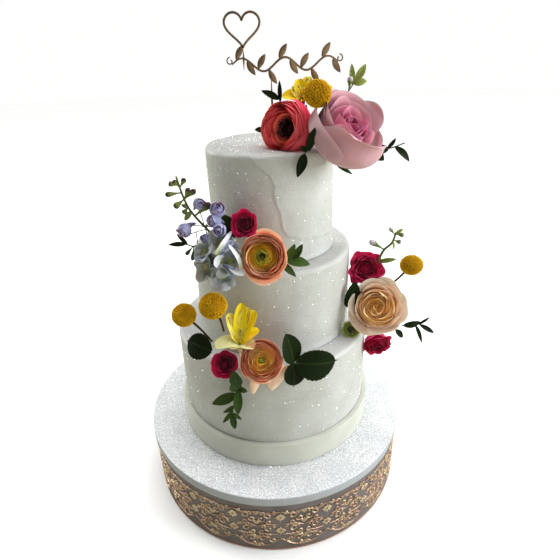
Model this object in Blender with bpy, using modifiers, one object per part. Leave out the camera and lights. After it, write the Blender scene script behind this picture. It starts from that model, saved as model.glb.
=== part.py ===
"""Three-tier wedding cake dressed with fresh flowers, on its board and its round stand.

Metres, +Z up. The origin is the centre of the stand's foot, -Y is the front and +X is the right.
Angles are in degrees, turned about +Z from +X, so -90 faces the front.
"""
import math

import bmesh
import bpy
from mathutils import Matrix, Vector

# ---- driving dimensions ----
GAP = 0.0003                # clear gap between pieces that touch
STAND_RADIUS = 0.1855       # wall of the stand's drum
STAND_HEIGHT = 0.0880
LACE_THICKNESS = 0.0014     # pressed metal lace wrapped round the drum
LACE_BOTTOM = 0.0065
LACE_TOP = 0.0765
BOARD_RADIUS = 0.1885
BOARD_THICKNESS = 0.0140
BOTTOM_RADIUS = 0.1325
BOTTOM_HEIGHT = 0.1508
MIDDLE_RADIUS = 0.1030
MIDDLE_HEIGHT = 0.1120
TOP_RADIUS = 0.0775
TOP_HEIGHT = 0.1275
BOTTOM_SHIFT = 0.0010       # how far each tier sits off the axis, towards +X
MIDDLE_SHIFT = 0.0040
TOP_SHIFT = 0.0060
ICING_ROUND = 0.0050        # rounded top edge of each tier
RIBBON_RADIUS = 0.1390      # outside of the band round the bottom tier
RIBBON_HEIGHT = 0.0360
TOPPER_Y = -0.0060          # plane of the cut-out topper
TOPPER_LINE = 0.0016        # half the width of the topper's strokes
BALL_STEM_RADIUS = 0.0013   # wiry stems under the round yellow flower heads

# ---- heights worked out from them ----
BOARD_BOTTOM = STAND_HEIGHT + GAP
BOARD_TOP = BOARD_BOTTOM + BOARD_THICKNESS
BOTTOM_FLOOR = BOARD_TOP + GAP
BOTTOM_TOP = BOTTOM_FLOOR + BOTTOM_HEIGHT
MIDDLE_FLOOR = BOTTOM_TOP + GAP
MIDDLE_TOP = MIDDLE_FLOOR + MIDDLE_HEIGHT
TOP_FLOOR = MIDDLE_TOP + GAP
TOP_TOP = TOP_FLOOR + TOP_HEIGHT

MERGE = 0.00001             # merge distance for every modifier that merges

for old in list(bpy.data.objects):
    bpy.data.objects.remove(old)

CAKE = bpy.data.collections.new("wedding_cake")
CUTTERS = bpy.data.collections.new("cutters")
bpy.context.scene.collection.children.link(CAKE)
bpy.context.scene.collection.children.link(CUTTERS)


# ---- materials ----
def material(name, colour, roughness, metallic=0.0):
    """A plain Principled material for one piece."""
    made = bpy.data.materials.new(name)
    made.use_nodes = True
    shader = made.node_tree.nodes["Principled BSDF"]
    shader.inputs["Base Color"].default_value = (*colour, 1.0)
    shader.inputs["Roughness"].default_value = roughness
    shader.inputs["Metallic"].default_value = metallic
    return made


ICING_WHITE = (0.80, 0.81, 0.76)
BOARD_WHITE = (0.84, 0.86, 0.88)
DRUM_MAUVE = (0.20, 0.16, 0.17)
LACE_CHAMPAGNE = (0.42, 0.30, 0.20)
TOPPER_BRONZE = (0.13, 0.085, 0.045)
CORAL_RED = (0.55, 0.06, 0.07)
ROSE_PINK = (0.72, 0.38, 0.45)
ROSE_PEACH = (0.80, 0.55, 0.38)
ORANGE_PEACH = (0.80, 0.30, 0.14)
CRIMSON = (0.36, 0.01, 0.06)
MAGENTA = (0.45, 0.02, 0.12)
BALL_YELLOW = (0.62, 0.36, 0.02)
LILY_YELLOW = (0.80, 0.62, 0.04)
LILAC_BLUE = (0.30, 0.31, 0.50)
LEAF_DARK = (0.02, 0.05, 0.02)
LEAF_GREEN = (0.07, 0.13, 0.04)
BUD_GREEN = (0.24, 0.30, 0.10)
PETAL_CREAM = (0.82, 0.62, 0.50)


# ---- making shapes ----
def add(name, mesh, colour, roughness=0.55, metallic=0.0):
    """Put a mesh in the cake's collection as one named piece."""
    piece = bpy.data.objects.new(name, mesh)
    piece.data.materials.append(material(name, colour, roughness, metallic))
    CAKE.objects.link(piece)
    return piece


def smooth(mesh, sharp_degrees=40):
    mesh.shade_smooth()
    mesh.set_sharp_from_angle(angle=math.radians(sharp_degrees))


def turned(name, profile, steps, colour, roughness=0.55, metallic=0.0, ring=False):
    """A turned solid: (radius, height) points from the top down the outer side."""
    mesh = bpy.data.meshes.new(name)
    points = [(radius, 0.0, height) for radius, height in profile]
    edges = [(i, i + 1) for i in range(len(points) - 1)]
    if ring:
        edges.append((len(points) - 1, 0))
    mesh.from_pydata(points, edges, [])
    piece = add(name, mesh, colour, roughness, metallic)
    screw = piece.modifiers.new("turn", "SCREW")
    screw.steps = steps
    screw.render_steps = steps
    screw.use_merge_vertices = True
    screw.merge_threshold = MERGE
    screw.use_smooth_shade = True
    return piece


def loft(rings, start, end):
    """A closed mesh through rings of equal count, from a start point to an end point."""
    shape = bmesh.new()
    loops = [[shape.verts.new(point) for point in ring] for ring in rings]
    count = len(loops[0])
    first = shape.verts.new(start)
    last = shape.verts.new(end)
    for i in range(count):
        j = (i + 1) % count
        shape.faces.new((first, loops[0][j], loops[0][i]))
        shape.faces.new((last, loops[-1][i], loops[-1][j]))
        for lower, upper in zip(loops, loops[1:]):
            shape.faces.new((lower[i], lower[j], upper[j], upper[i]))
    bmesh.ops.recalc_face_normals(shape, faces=shape.faces)
    mesh = bpy.data.meshes.new("loft")
    shape.to_mesh(mesh)
    shape.free()
    smooth(mesh)
    return mesh


def aim(facing, spin=0.0):
    """Rotation that turns +Z to face an (angle, elevation), with a spin about it."""
    angle, elevation = facing
    return (Matrix.Rotation(math.radians(angle), 4, "Z")
            @ Matrix.Rotation(math.radians(90 - elevation), 4, "Y")
            @ Matrix.Rotation(math.radians(spin), 4, "Z"))


def place(piece, at, facing, spin=0.0):
    """Stand a piece, made about its own +Z, at a point and turn it to face."""
    piece.matrix_world = Matrix.Translation(at) @ aim(facing, spin)
    return piece


def keep_clear(piece, *cutters):
    """Trim a piece where it leans on the icing."""
    for cutter in cutters:
        cut = piece.modifiers.new("lean", "BOOLEAN")
        cut.operation = "DIFFERENCE"
        cut.object = cutter
    return piece


def weld(name, body, parts, colour, roughness=0.55, metallic=0.0):
    """One piece made by joining overlapping meshes to a body."""
    piece = add(name, body, colour, roughness, metallic)
    for number, mesh in enumerate(parts):
        limb = bpy.data.objects.new(f"{name}_limb_{number}", mesh)
        limb.hide_render = True
        limb.display_type = "WIRE"
        CUTTERS.objects.link(limb)
        join = piece.modifiers.new("join", "BOOLEAN")
        join.operation = "UNION"
        join.object = limb
    return piece


def tube(path, radii, sides=5):
    """A closed tube through a path, with a radius at each point of it."""
    points = [Vector(point) for point in path]
    rings = []
    side = None
    for i, point in enumerate(points):
        along = (points[min(i + 1, len(points) - 1)] - points[max(i - 1, 0)]).normalized()
        if side is None:
            side = along.orthogonal().normalized()
        side = (side - along * side.dot(along)).normalized()
        other = along.cross(side)
        turns = [math.tau * k / sides for k in range(sides)]
        rings.append([point + (side * math.cos(t) + other * math.sin(t)) * radii[i] for t in turns])
    return loft(rings, points[0], points[-1])


def leaf(base, tip, width, normal, bow=0.08, thickness=0.0009, stalk=0.12, serial=6):
    """A folded leaf blade from base to tip, its upper side facing the normal."""
    base, tip = Vector(base), Vector(tip)
    run = tip - base
    length = run.length
    along = run.normalized()
    up = (Vector(normal) - along * Vector(normal).dot(along)).normalized()
    side = along.cross(up)
    rings = []
    for i in range(1, serial):
        t = i / serial
        swell = 0.0 if t < stalk else math.sin(math.pi * ((t - stalk) / (1 - stalk)) ** 0.8)
        half = max(0.5 * width * swell, 0.0007)
        rib = base + along * (length * t) + up * (bow * length * math.sin(math.pi * t))
        edge = rib + up * (0.22 * half)
        rings.append([edge + side * half, rib + up * thickness, edge - side * half, rib - up * thickness])
    return loft(rings, base, tip)


# ---- blooms, made about their own +Z with the eye in the middle ----
def bloom_mesh(radius, outline, petals, lobe, twist, segments):
    """Overlapping rounds of petals: outline rows are (radius share, height share)."""
    rings = []
    for row, (across, height) in enumerate(outline):
        ring = []
        for k in range(segments):
            turn = math.tau * k / segments
            wave = math.cos(petals * turn + twist * row)
            reach = radius * across * (1 + lobe * wave)
            ring.append(Vector((reach * math.cos(turn), reach * math.sin(turn),
                                radius * (height + 0.5 * lobe * wave * across))))
        rings.append(ring)
    foot = Vector((0, 0, radius * (outline[0][1] - 0.10)))
    eye = Vector((0, 0, radius * (outline[-1][1] - 0.05)))
    return loft(rings, foot, eye)


RANUNCULUS_OUTLINE = [(0.40, -0.72), (0.84, -0.46), (0.98, 0.02), (0.86, 0.24),
                      (0.76, 0.12), (0.64, 0.25), (0.52, 0.12), (0.38, 0.20), (0.22, 0.02)]
ROSE_OUTLINE = [(0.30, -0.80), (0.68, -0.46), (0.94, 0.04), (0.92, 0.28),
                (0.72, 0.08), (0.58, 0.30), (0.44, 0.14), (0.32, 0.34), (0.16, 0.16)]
SPRAY_ROSE_OUTLINE = [(0.42, -0.95), (0.86, -0.36), (0.94, 0.34), (0.66, 0.22), (0.50, 0.40), (0.26, 0.16)]


def ranunculus(name, at, facing, radius, colour, cutters=()):
    mesh = bloom_mesh(radius, RANUNCULUS_OUTLINE, petals=5, lobe=0.035, twist=1.3, segments=14)
    return keep_clear(place(add(name, mesh, colour), at, facing), *cutters)


def garden_rose(name, at, facing, radius, colour, cutters=()):
    mesh = bloom_mesh(radius, ROSE_OUTLINE, petals=5, lobe=0.07, twist=1.9, segments=15)
    return keep_clear(place(add(name, mesh, colour), at, facing), *cutters)


def spray_rose(name, at, facing, radius, colour, cutters=()):
    mesh = bloom_mesh(radius, SPRAY_ROSE_OUTLINE, petals=4, lobe=0.09, twist=1.6, segments=12)
    return keep_clear(place(add(name, mesh, colour), at, facing), *cutters)


def star_mesh(radius, petals, cup, thickness, waist, rows=(0.30, 0.70, 1.0)):
    """A flat or cupped flower of separate pointed petals joined at the middle."""
    def ring(share, lift):
        points = []
        for k in range(petals * 3):
            turn = math.tau * k / (petals * 3)
            open_to = 1.0 if k % 3 == 0 else waist + (1 - waist) * (1 - share) * 0.8
            reach = radius * share * open_to
            height = radius * cup * (reach / radius) ** 1.5 + lift
            points.append(Vector((reach * math.cos(turn), reach * math.sin(turn), height)))
        return points
    below = [ring(share, -thickness) for share in rows]
    above = [ring(share, thickness) for share in reversed(rows)]
    return loft(below + above, Vector((0, 0, -2 * thickness)), Vector((0, 0, thickness)))


def craspedia(name, at, radius, stem_end, flatten=1.0):
    """A ball of tiny florets on a straight wiry stem."""
    centre, end = Vector(at), Vector(stem_end)
    run = centre - end
    tall = radius * flatten
    bands = 7
    turns = [math.pi * k / bands for k in range(1, bands)]
    profile = [(0.0, tall)]
    profile += [(radius * math.sin(t), tall * math.cos(t)) for t in turns]
    profile += [(BALL_STEM_RADIUS, -tall), (BALL_STEM_RADIUS, -run.length), (0.0, -run.length)]
    piece = turned(name, profile, 10, BALL_YELLOW, 0.8)
    piece.matrix_world = Matrix.Translation(centre) @ run.to_track_quat("Z", "Y").to_matrix().to_4x4()
    return piece


# ---- the stand, its lace and the board ----
turned("stand_drum", [
    (0.0, STAND_HEIGHT), (STAND_RADIUS, STAND_HEIGHT),
    (STAND_RADIUS, 0.0035), (STAND_RADIUS + 0.0015, 0.0025), (STAND_RADIUS + 0.0015, 0.0),
    (0.0, 0.0)], 44, DRUM_MAUVE, 0.4, 0.3)
LACE_INSIDE = STAND_RADIUS + GAP
LACE_OUTSIDE = LACE_INSIDE + LACE_THICKNESS
turned("stand_lace_band", [
    (LACE_INSIDE, LACE_TOP), (LACE_OUTSIDE, LACE_TOP), (LACE_OUTSIDE, LACE_BOTTOM),
    (LACE_INSIDE, LACE_BOTTOM)], 44, LACE_CHAMPAGNE, 0.35, 0.9, ring=True)
turned("cake_board", [
    (0.0, BOARD_TOP), (BOARD_RADIUS - 0.0015, BOARD_TOP), (BOARD_RADIUS, BOARD_TOP - 0.0015),
    (BOARD_RADIUS, BOARD_BOTTOM), (0.0, BOARD_BOTTOM)], 48, BOARD_WHITE, 0.4)


# ---- the three iced tiers and the band ----
def tier_profile(radius, top, floor, grow=0.0):
    """Outline of an iced tier with a rounded top edge, grown all round for a cutter."""
    outside = radius + grow
    turns = [math.radians(angle) for angle in (90, 55, 20, 0)]
    corner = [(outside - ICING_ROUND * (1 - math.cos(t)), top + grow - ICING_ROUND * (1 - math.sin(t)))
              for t in turns]
    return [(0.0, top + grow)] + corner + [(outside, floor - grow), (0.0, floor - grow)]


def tier(name, radius, top, floor, shift, steps):
    piece = turned(name, tier_profile(radius, top, floor), steps, ICING_WHITE, 0.6)
    piece.location.x = shift
    return piece


def tier_cutter(name, radius, top, floor, shift, steps):
    """The room that a tier takes, kept clear of whatever leans on it."""
    cutter = turned(name, tier_profile(radius, top, floor, GAP), steps, ICING_WHITE)
    CAKE.objects.unlink(cutter)
    CUTTERS.objects.link(cutter)
    cutter.location.x = shift
    cutter.hide_render = True
    cutter.display_type = "WIRE"
    return cutter


BOTTOM = ("bottom_tier", BOTTOM_RADIUS, BOTTOM_TOP, BOTTOM_FLOOR, BOTTOM_SHIFT, 44)
MIDDLE = ("middle_tier", MIDDLE_RADIUS, MIDDLE_TOP, MIDDLE_FLOOR, MIDDLE_SHIFT, 38)
TOP = ("top_tier", TOP_RADIUS, TOP_TOP, TOP_FLOOR, TOP_SHIFT, 36)
for made in (BOTTOM, MIDDLE, TOP):
    tier(*made)
BOTTOM_ROOM = tier_cutter("bottom_room", *BOTTOM[1:])
MIDDLE_ROOM = tier_cutter("middle_room", *MIDDLE[1:])
TOP_ROOM = tier_cutter("top_room", *TOP[1:])

RIBBON_INSIDE = BOTTOM_RADIUS + GAP
RIBBON_TOP = BOTTOM_FLOOR + RIBBON_HEIGHT
band = turned("base_ribbon", [
    (RIBBON_INSIDE, RIBBON_TOP), (RIBBON_RADIUS, RIBBON_TOP), (RIBBON_RADIUS, BOTTOM_FLOOR),
    (RIBBON_INSIDE, BOTTOM_FLOOR)], 44, ICING_WHITE, 0.4, ring=True)
band.location.x = BOTTOM_SHIFT


# ---- the cut-out topper: a heart over a leafy vine, on one stake ----
def in_plane(points):
    return [Vector((x, TOPPER_Y, z)) for x, z in points]


HEART_CENTRE = (-0.0190, 0.6125)
HEART_WIDTH = 0.0380
VINE_LEFT, VINE_RIGHT = -0.0330, 0.0860
VINE_HEIGHT = 0.5780
VINE_WAVE = 0.0068
VINE_WAVES = 2.5
STAKE_X = 0.0107
STROKE_SIDES = 4


def heart_points(count=16):
    """The closed outline of a heart, worked out from one formula."""
    scale = HEART_WIDTH / 32
    points = []
    for k in range(count + 1):
        t = math.tau * k / count
        across = 16 * math.sin(t) ** 3
        up = 13 * math.cos(t) - 5 * math.cos(2 * t) - 2 * math.cos(3 * t) - math.cos(4 * t)
        points.append((HEART_CENTRE[0] + scale * across, HEART_CENTRE[1] + scale * (up + 2)))
    return points


def vine_point(t):
    wave = VINE_WAVE * math.sin(math.tau * VINE_WAVES * t)
    return VINE_LEFT + (VINE_RIGHT - VINE_LEFT) * t, VINE_HEIGHT + wave


def stroke(points, sides=STROKE_SIDES):
    return tube(in_plane(points), [TOPPER_LINE] * len(points), sides)


heart = heart_points()
heart_middle = len(heart) // 2
right_half = stroke(heart[:heart_middle + 1])
left_half = stroke(heart[heart_middle:])
vine = stroke([vine_point(k / 20) for k in range(21)])
stake_top = vine_point((STAKE_X - VINE_LEFT) / (VINE_RIGHT - VINE_LEFT))[1]
stake = stroke([(STAKE_X, stake_top), (STAKE_X, TOP_TOP + GAP)])
heart_tip = heart[heart_middle]
heart_stem = stroke([heart_tip, (heart_tip[0], VINE_HEIGHT - VINE_WAVE)])
vine_leaves = []
for k in range(5):
    t = (k + 0.5) / 5
    x, z = vine_point(t)
    rise = 0.017 if k % 2 == 0 else -0.015
    vine_leaves.append(leaf((x, TOPPER_Y, z), (x + 0.008, TOPPER_Y, z + rise), 0.0075,
                            (0, -1, 0), bow=0.0, thickness=0.75 * TOPPER_LINE, stalk=0.1, serial=3))
weld("topper", vine, [stake, right_half, left_half, heart_stem] + vine_leaves, TOPPER_BRONZE, 0.35, 0.8)

# ---- leaves and sprigs ----
TOWARDS_FRONT = (0.0, -0.85, 0.50)


def on_stem(stem, point):
    """The nearest place on a stem's path, kept off its two ends."""
    nearest = None
    for start, end in zip(stem, stem[1:]):
        start, end = Vector(start), Vector(end)
        run = end - start
        share = max(0.05, min(0.95, (Vector(point) - start).dot(run) / run.length_squared))
        place_on_it = start + run * share
        if nearest is None or (place_on_it - Vector(point)).length < (nearest - Vector(point)).length:
            nearest = place_on_it
    return nearest


def sprig(name, stem, leaves, colour, stem_radius=0.0009, normal=TOWARDS_FRONT, buds=()):
    """A stem with its leaves, each (base, tip, width), and its buds, each (base, tip, radius)."""
    body = tube(stem, [stem_radius] * len(stem), sides=4)
    limbs = [leaf(on_stem(stem, base), tip, width, normal, serial=5) for base, tip, width in leaves]
    limbs += [bud(on_stem(stem, base), tip, radius) for base, tip, radius in buds]
    return weld(name, body, limbs, colour)


def bud(base, tip, radius):
    """A pointed oval bud with a thin stalk at its base."""
    base, tip = Vector(base), Vector(tip)
    swell = ((0.30, 0.22), (0.55, 1.0), (0.80, 0.85))
    path = [base] + [base.lerp(tip, along) for along, _ in swell] + [tip]
    return tube(path, [0.0006] + [radius * across for _, across in swell] + [radius * 0.3], sides=4)


def single_leaf(name, base, tip, width, colour, normal=TOWARDS_FRONT, cutters=()):
    return keep_clear(add(name, leaf(base, tip, width, normal), colour), *cutters)


# ---- the flowers on the top tier ----
ranunculus("top_red_ranunculus", (0.0243, -0.0440, 0.5164), (-122, 14), 0.0270, CORAL_RED, [TOP_ROOM])
garden_rose("top_pink_rose", (0.0914, -0.0580, 0.5142), (-62, 22), 0.0375, ROSE_PINK, [TOP_ROOM])
craspedia("top_craspedia", (0.0616, -0.0420, 0.5457), 0.0142, (0.0520, -0.0200, 0.4960))
place(add("top_alstroemeria", star_mesh(0.0195, 6, 0.20, 0.0011, 0.45), LILY_YELLOW),
      (0.0465, -0.0170, 0.5490), (-100, 15), 30)
sprig("top_bud_sprig",
      [(0.0900, -0.0230, 0.5360), (0.0914, -0.0240, 0.5443), (0.0988, -0.0250, 0.5544), (0.1060, -0.0250, 0.5660)],
      [((0.1020, -0.0250, 0.5600), (0.1130, -0.0250, 0.5760), 0.0070),
       ((0.0990, -0.0250, 0.5560), (0.0985, -0.0250, 0.5770), 0.0060),
       ((0.1010, -0.0250, 0.5570), (0.1150, -0.0250, 0.5590), 0.0070)],
      BUD_GREEN, buds=[((0.0955, -0.0245, 0.5500), (0.0960, -0.0290, 0.5640), 0.0034)])
sprig("top_left_sprig",
      [(0.0230, -0.0125, 0.5200), (0.0215, -0.0135, 0.5320), (0.0185, -0.0140, 0.5440)],
      [((0.0190, -0.0140, 0.5420), (-0.0014, -0.0140, 0.5520), 0.0068),
       ((0.0200, -0.0140, 0.5390), (0.0195, -0.0140, 0.5620), 0.0045)], LEAF_DARK)
single_leaf("top_left_leaf", (0.0000, -0.0300, 0.5110), (-0.0105, -0.0300, 0.5125), 0.0060, LEAF_DARK)
sprig("top_front_sprig",
      [(0.0470, -0.0840, 0.4985), (0.0430, -0.0820, 0.4970), (0.0405, -0.0805, 0.4930)],
      [((0.0435, -0.0825, 0.4975), (0.0520, -0.0860, 0.5215), 0.0085),
       ((0.0415, -0.0810, 0.4950), (0.0336, -0.0785, 0.4690), 0.0095)], LEAF_DARK)
sprig("top_right_sprig",
      [(0.1180, -0.0440, 0.4860), (0.1290, -0.0470, 0.4900), (0.1400, -0.0490, 0.4900), (0.1560, -0.0500, 0.4960)],
      [((0.1240, -0.0455, 0.4885), (0.1345, -0.0480, 0.4780), 0.0120),
       ((0.1360, -0.0485, 0.4895), (0.1454, -0.0500, 0.5016), 0.0045),
       ((0.1460, -0.0492, 0.4920), (0.1630, -0.0500, 0.4750), 0.0080)], LEAF_DARK)
single_leaf("top_under_leaf", (0.0770, -0.0745, 0.4790), (0.0944, -0.0745, 0.4690), 0.0040, LEAF_GREEN)

# ---- the flowers on the middle tier ----
ranunculus("mid_peach_ranunculus", (-0.0072, -0.1200, 0.3957), (-104, 12), 0.0250, ORANGE_PEACH, [MIDDLE_ROOM])
spray_rose("mid_crimson_rose", (-0.0255, -0.1020, 0.4290), (-100, 22), 0.0135, CRIMSON)
single_leaf("mid_dark_leaf", (-0.0395, -0.0930, 0.4060), (-0.0485, -0.0885, 0.4341), 0.0150, LEAF_DARK)
single_leaf("mid_back_leaf", (-0.0290, -0.0850, 0.4060), (-0.0400, -0.0820, 0.4280), 0.0120, LEAF_DARK)

sprig("mid_delphinium_stem",
      [(-0.0649, -0.0830, 0.4120), (-0.0833, -0.0890, 0.4388), (-0.0880, -0.0930, 0.4561), (-0.0924, -0.0950, 0.4720)],
      [((-0.0835, -0.0890, 0.4390), (-0.0920, -0.0920, 0.4480), 0.0060)], BUD_GREEN, 0.0011,
      buds=[((-0.0920, -0.0948, 0.4705), (-0.0885, -0.0950, 0.4800), 0.0034),
            ((-0.0900, -0.0940, 0.4640), (-0.1040, -0.0950, 0.4740), 0.0032),
            ((-0.0885, -0.0933, 0.4580), (-0.1080, -0.0945, 0.4630), 0.0032),
            ((-0.0873, -0.0924, 0.4535), (-0.0985, -0.0940, 0.4520), 0.0038),
            ((-0.0878, -0.0928, 0.4560), (-0.0730, -0.0950, 0.4680), 0.0038),
            ((-0.0845, -0.0900, 0.4430), (-0.0760, -0.0900, 0.4560), 0.0030)])
DELPHINIUM_BUDS = [((-0.0690, -0.0930, 0.4470), (-110, 20), 0.0065),
                   ((-0.0530, -0.0960, 0.4445), (-95, 35), 0.0078),
                   ((-0.0560, -0.1040, 0.4310), (-100, 10), 0.0068),
                   ((-0.0470, -0.1120, 0.4220), (-90, 5), 0.0062),
                   ((-0.0900, -0.1010, 0.4215), (-120, -15), 0.0075),
                   ((-0.0690, -0.1010, 0.4160), (-120, 15), 0.0045)]
for number, (at, facing, radius) in enumerate(DELPHINIUM_BUDS, start=1):
    mesh = bloom_mesh(radius, [(0.45, -1.0), (0.95, -0.2), (0.90, 0.5), (0.45, 0.3)],
                      petals=4, lobe=0.10, twist=1.0, segments=8)
    place(add(f"mid_delphinium_bud_{number}", mesh, LILAC_BLUE), at, facing)

HYDRANGEA_FLORETS = [((-0.0700, -0.1020, 0.3995), (-125, 20), 0.0125),
                     ((-0.0500, -0.1050, 0.4075), (-105, 50), 0.0110),
                     ((-0.0450, -0.1180, 0.3935), (-105, 15), 0.0120),
                     ((-0.0690, -0.1110, 0.3790), (-120, -5), 0.0125),
                     ((-0.0480, -0.1230, 0.3710), (-105, -15), 0.0125)]
for number, (at, facing, radius) in enumerate(HYDRANGEA_FLORETS, start=1):
    floret = place(add(f"mid_hydrangea_{number}", star_mesh(radius, 4, 0.15, 0.0009, 0.62, (0.45, 1.0)), LILAC_BLUE),
                   at, facing, 45)
    keep_clear(floret, MIDDLE_ROOM)
sprig("mid_leaf_sprig",
      [(0.0190, -0.1090, 0.3840), (0.0240, -0.1095, 0.3850), (0.0300, -0.1095, 0.3850)],
      [((0.0205, -0.1092, 0.3842), (0.0294, -0.1100, 0.4049), 0.0070),
       ((0.0285, -0.1095, 0.3850), (0.0370, -0.1100, 0.4034), 0.0065),
       ((0.0290, -0.1095, 0.3850), (0.0448, -0.1080, 0.3770), 0.0085),
       ((0.0205, -0.1092, 0.3840), (0.0300, -0.1105, 0.3700), 0.0065)], LEAF_GREEN)
sprig("mid_twig",
      [(-0.0810, -0.0860, 0.3980), (-0.0860, -0.0850, 0.3965), (-0.0937, -0.0850, 0.4000)],
      [((-0.0930, -0.0850, 0.3995), (-0.1129, -0.0850, 0.4000), 0.0055),
       ((-0.0915, -0.0850, 0.3990), (-0.1022, -0.0850, 0.4128), 0.0045)], LEAF_DARK, 0.0007,
      buds=[((-0.0850, -0.0852, 0.3970), (-0.0945, -0.0850, 0.3870), 0.0026),
            ((-0.0845, -0.0855, 0.3968), (-0.0880, -0.0855, 0.3800), 0.0024)])

# ---- the flowers on the bottom tier ----
ranunculus("low_orange_ranunculus", (-0.0141, -0.1490, 0.2812), (-86, 38), 0.0235, ORANGE_PEACH, [BOTTOM_ROOM])
spray_rose("low_magenta_rose", (-0.0560, -0.1420, 0.2735), (-100, 30), 0.0145, MAGENTA, [BOTTOM_ROOM])
place(add("low_alstroemeria", star_mesh(0.0215, 6, 0.75, 0.0011, 0.45), LILY_YELLOW),
      (-0.0385, -0.1190, 0.2930), (-95, 58), 0)
craspedia("low_left_craspedia", (-0.0999, -0.1150, 0.3252), 0.0140, (-0.0710, -0.1180, 0.2890))
craspedia("low_right_craspedia", (-0.0649, -0.1220, 0.3394), 0.0160, (-0.0570, -0.1120, 0.2990))
single_leaf("low_left_rose_leaf", (-0.0720, -0.1290, 0.2830), (-0.1005, -0.1060, 0.2850), 0.0290,
            LEAF_DARK, (-0.35, -0.70, 0.55))
sprig("low_rose_leaf_spray",
      [(0.0185, -0.1385, 0.2700), (0.0235, -0.1400, 0.2695), (0.0290, -0.1405, 0.2690)],
      [((0.0255, -0.1402, 0.2693), (0.0769, -0.1290, 0.2633), 0.0370),
       ((0.0225, -0.1397, 0.2697), (0.0151, -0.1370, 0.3098), 0.0200),
       ((0.0225, -0.1397, 0.2697), (0.0230, -0.1400, 0.2327), 0.0210)], LEAF_DARK, 0.0011,
      (0.15, -0.90, 0.40))
single_leaf("low_loose_petal_1", (-0.0190, -0.1420, 0.2530), (-0.0263, -0.1390, 0.2247), 0.0110, PETAL_CREAM)
single_leaf("low_loose_petal_2", (0.0067, -0.1420, 0.2560), (-0.0050, -0.1390, 0.2300), 0.0150, PETAL_CREAM)
sprig("low_ruscus_sprig",
      [(-0.0402, -0.1530, 0.2600), (-0.0430, -0.1480, 0.2400), (-0.0480, -0.1430, 0.2200), (-0.0530, -0.1400, 0.1960)],
      [((-0.0408, -0.1520, 0.2560), (-0.0445, -0.1620, 0.2860), 0.0110),
       ((-0.0418, -0.1500, 0.2490), (-0.0520, -0.1540, 0.2620), 0.0100),
       ((-0.0432, -0.1475, 0.2385), (-0.0773, -0.1350, 0.2067), 0.0120),
       ((-0.0440, -0.1460, 0.2340), (-0.0440, -0.1430, 0.2080), 0.0090),
       ((-0.0500, -0.1420, 0.2120), (-0.0640, -0.1405, 0.2000), 0.0060),
       ((-0.0525, -0.1400, 0.1980), (-0.0517, -0.1390, 0.1707), 0.0080),
       ((-0.0510, -0.1410, 0.2040), (-0.0660, -0.1390, 0.1820), 0.0055)], LEAF_GREEN)

# ---- the flowers on the right ----
spray_rose("right_upper_magenta_rose", (0.1235, -0.0460, 0.3425), (-95, 25), 0.0190, MAGENTA, [MIDDLE_ROOM])
garden_rose("right_peach_rose", (0.1361, -0.0650, 0.2964), (-100, 28), 0.0335, ROSE_PEACH, [BOTTOM_ROOM])
spray_rose("right_lower_magenta_rose", (0.1450, -0.0480, 0.2260), (-85, -20), 0.0150, MAGENTA)
craspedia("right_craspedia", (0.1786, -0.0500, 0.3452), 0.0138, (0.1540, -0.0470, 0.3155), 0.85)
sprig("right_bud_sprig",
      [(0.1400, -0.0380, 0.3450), (0.1463, -0.0420, 0.3609), (0.1554, -0.0450, 0.3727), (0.1620, -0.0450, 0.3820)],
      [((0.1590, -0.0450, 0.3770), (0.1500, -0.0450, 0.3940), 0.0060),
       ((0.1600, -0.0450, 0.3780), (0.1700, -0.0450, 0.3890), 0.0060),
       ((0.1575, -0.0450, 0.3745), (0.1690, -0.0450, 0.3730), 0.0055)], BUD_GREEN,
      buds=[((0.1463, -0.0420, 0.3605), (0.1265, -0.0450, 0.3753), 0.0038),
            ((0.1530, -0.0445, 0.3690), (0.1650, -0.0450, 0.3620), 0.0032)])
single_leaf("right_rose_leaf", (0.1010, -0.0500, 0.2880), (0.0990, -0.0500, 0.3200), 0.0130, LEAF_DARK)
place(add("right_green_bud", bloom_mesh(0.0095, [(0.5, -0.9), (1.0, -0.2), (0.85, 0.4), (0.4, 0.2)],
                                        petals=4, lobe=0.12, twist=1.0, segments=12), BUD_GREEN),
      (0.1040, -0.0660, 0.2650), (-95, 35))
sprig("right_leaf_sprig",
      [(0.1730, -0.0540, 0.2580), (0.1840, -0.0520, 0.2570), (0.1990, -0.0500, 0.2560)],
      [((0.1750, -0.0535, 0.2578), (0.2000, -0.0500, 0.2600), 0.0090),
       ((0.1970, -0.0500, 0.2562), (0.2115, -0.0500, 0.2669), 0.0035),
       ((0.1930, -0.0506, 0.2565), (0.2050, -0.0500, 0.2253), 0.0055),
       ((0.1980, -0.0500, 0.2560), (0.2201, -0.0500, 0.2410), 0.0065)], LEAF_DARK)
single_leaf("right_small_leaf", (0.1650, -0.0540, 0.2520), (0.1764, -0.0540, 0.2385), 0.0080, LEAF_DARK)
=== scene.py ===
import math

import bmesh
import bpy
import numpy as np
from mathutils import Matrix, Vector, noise


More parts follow.
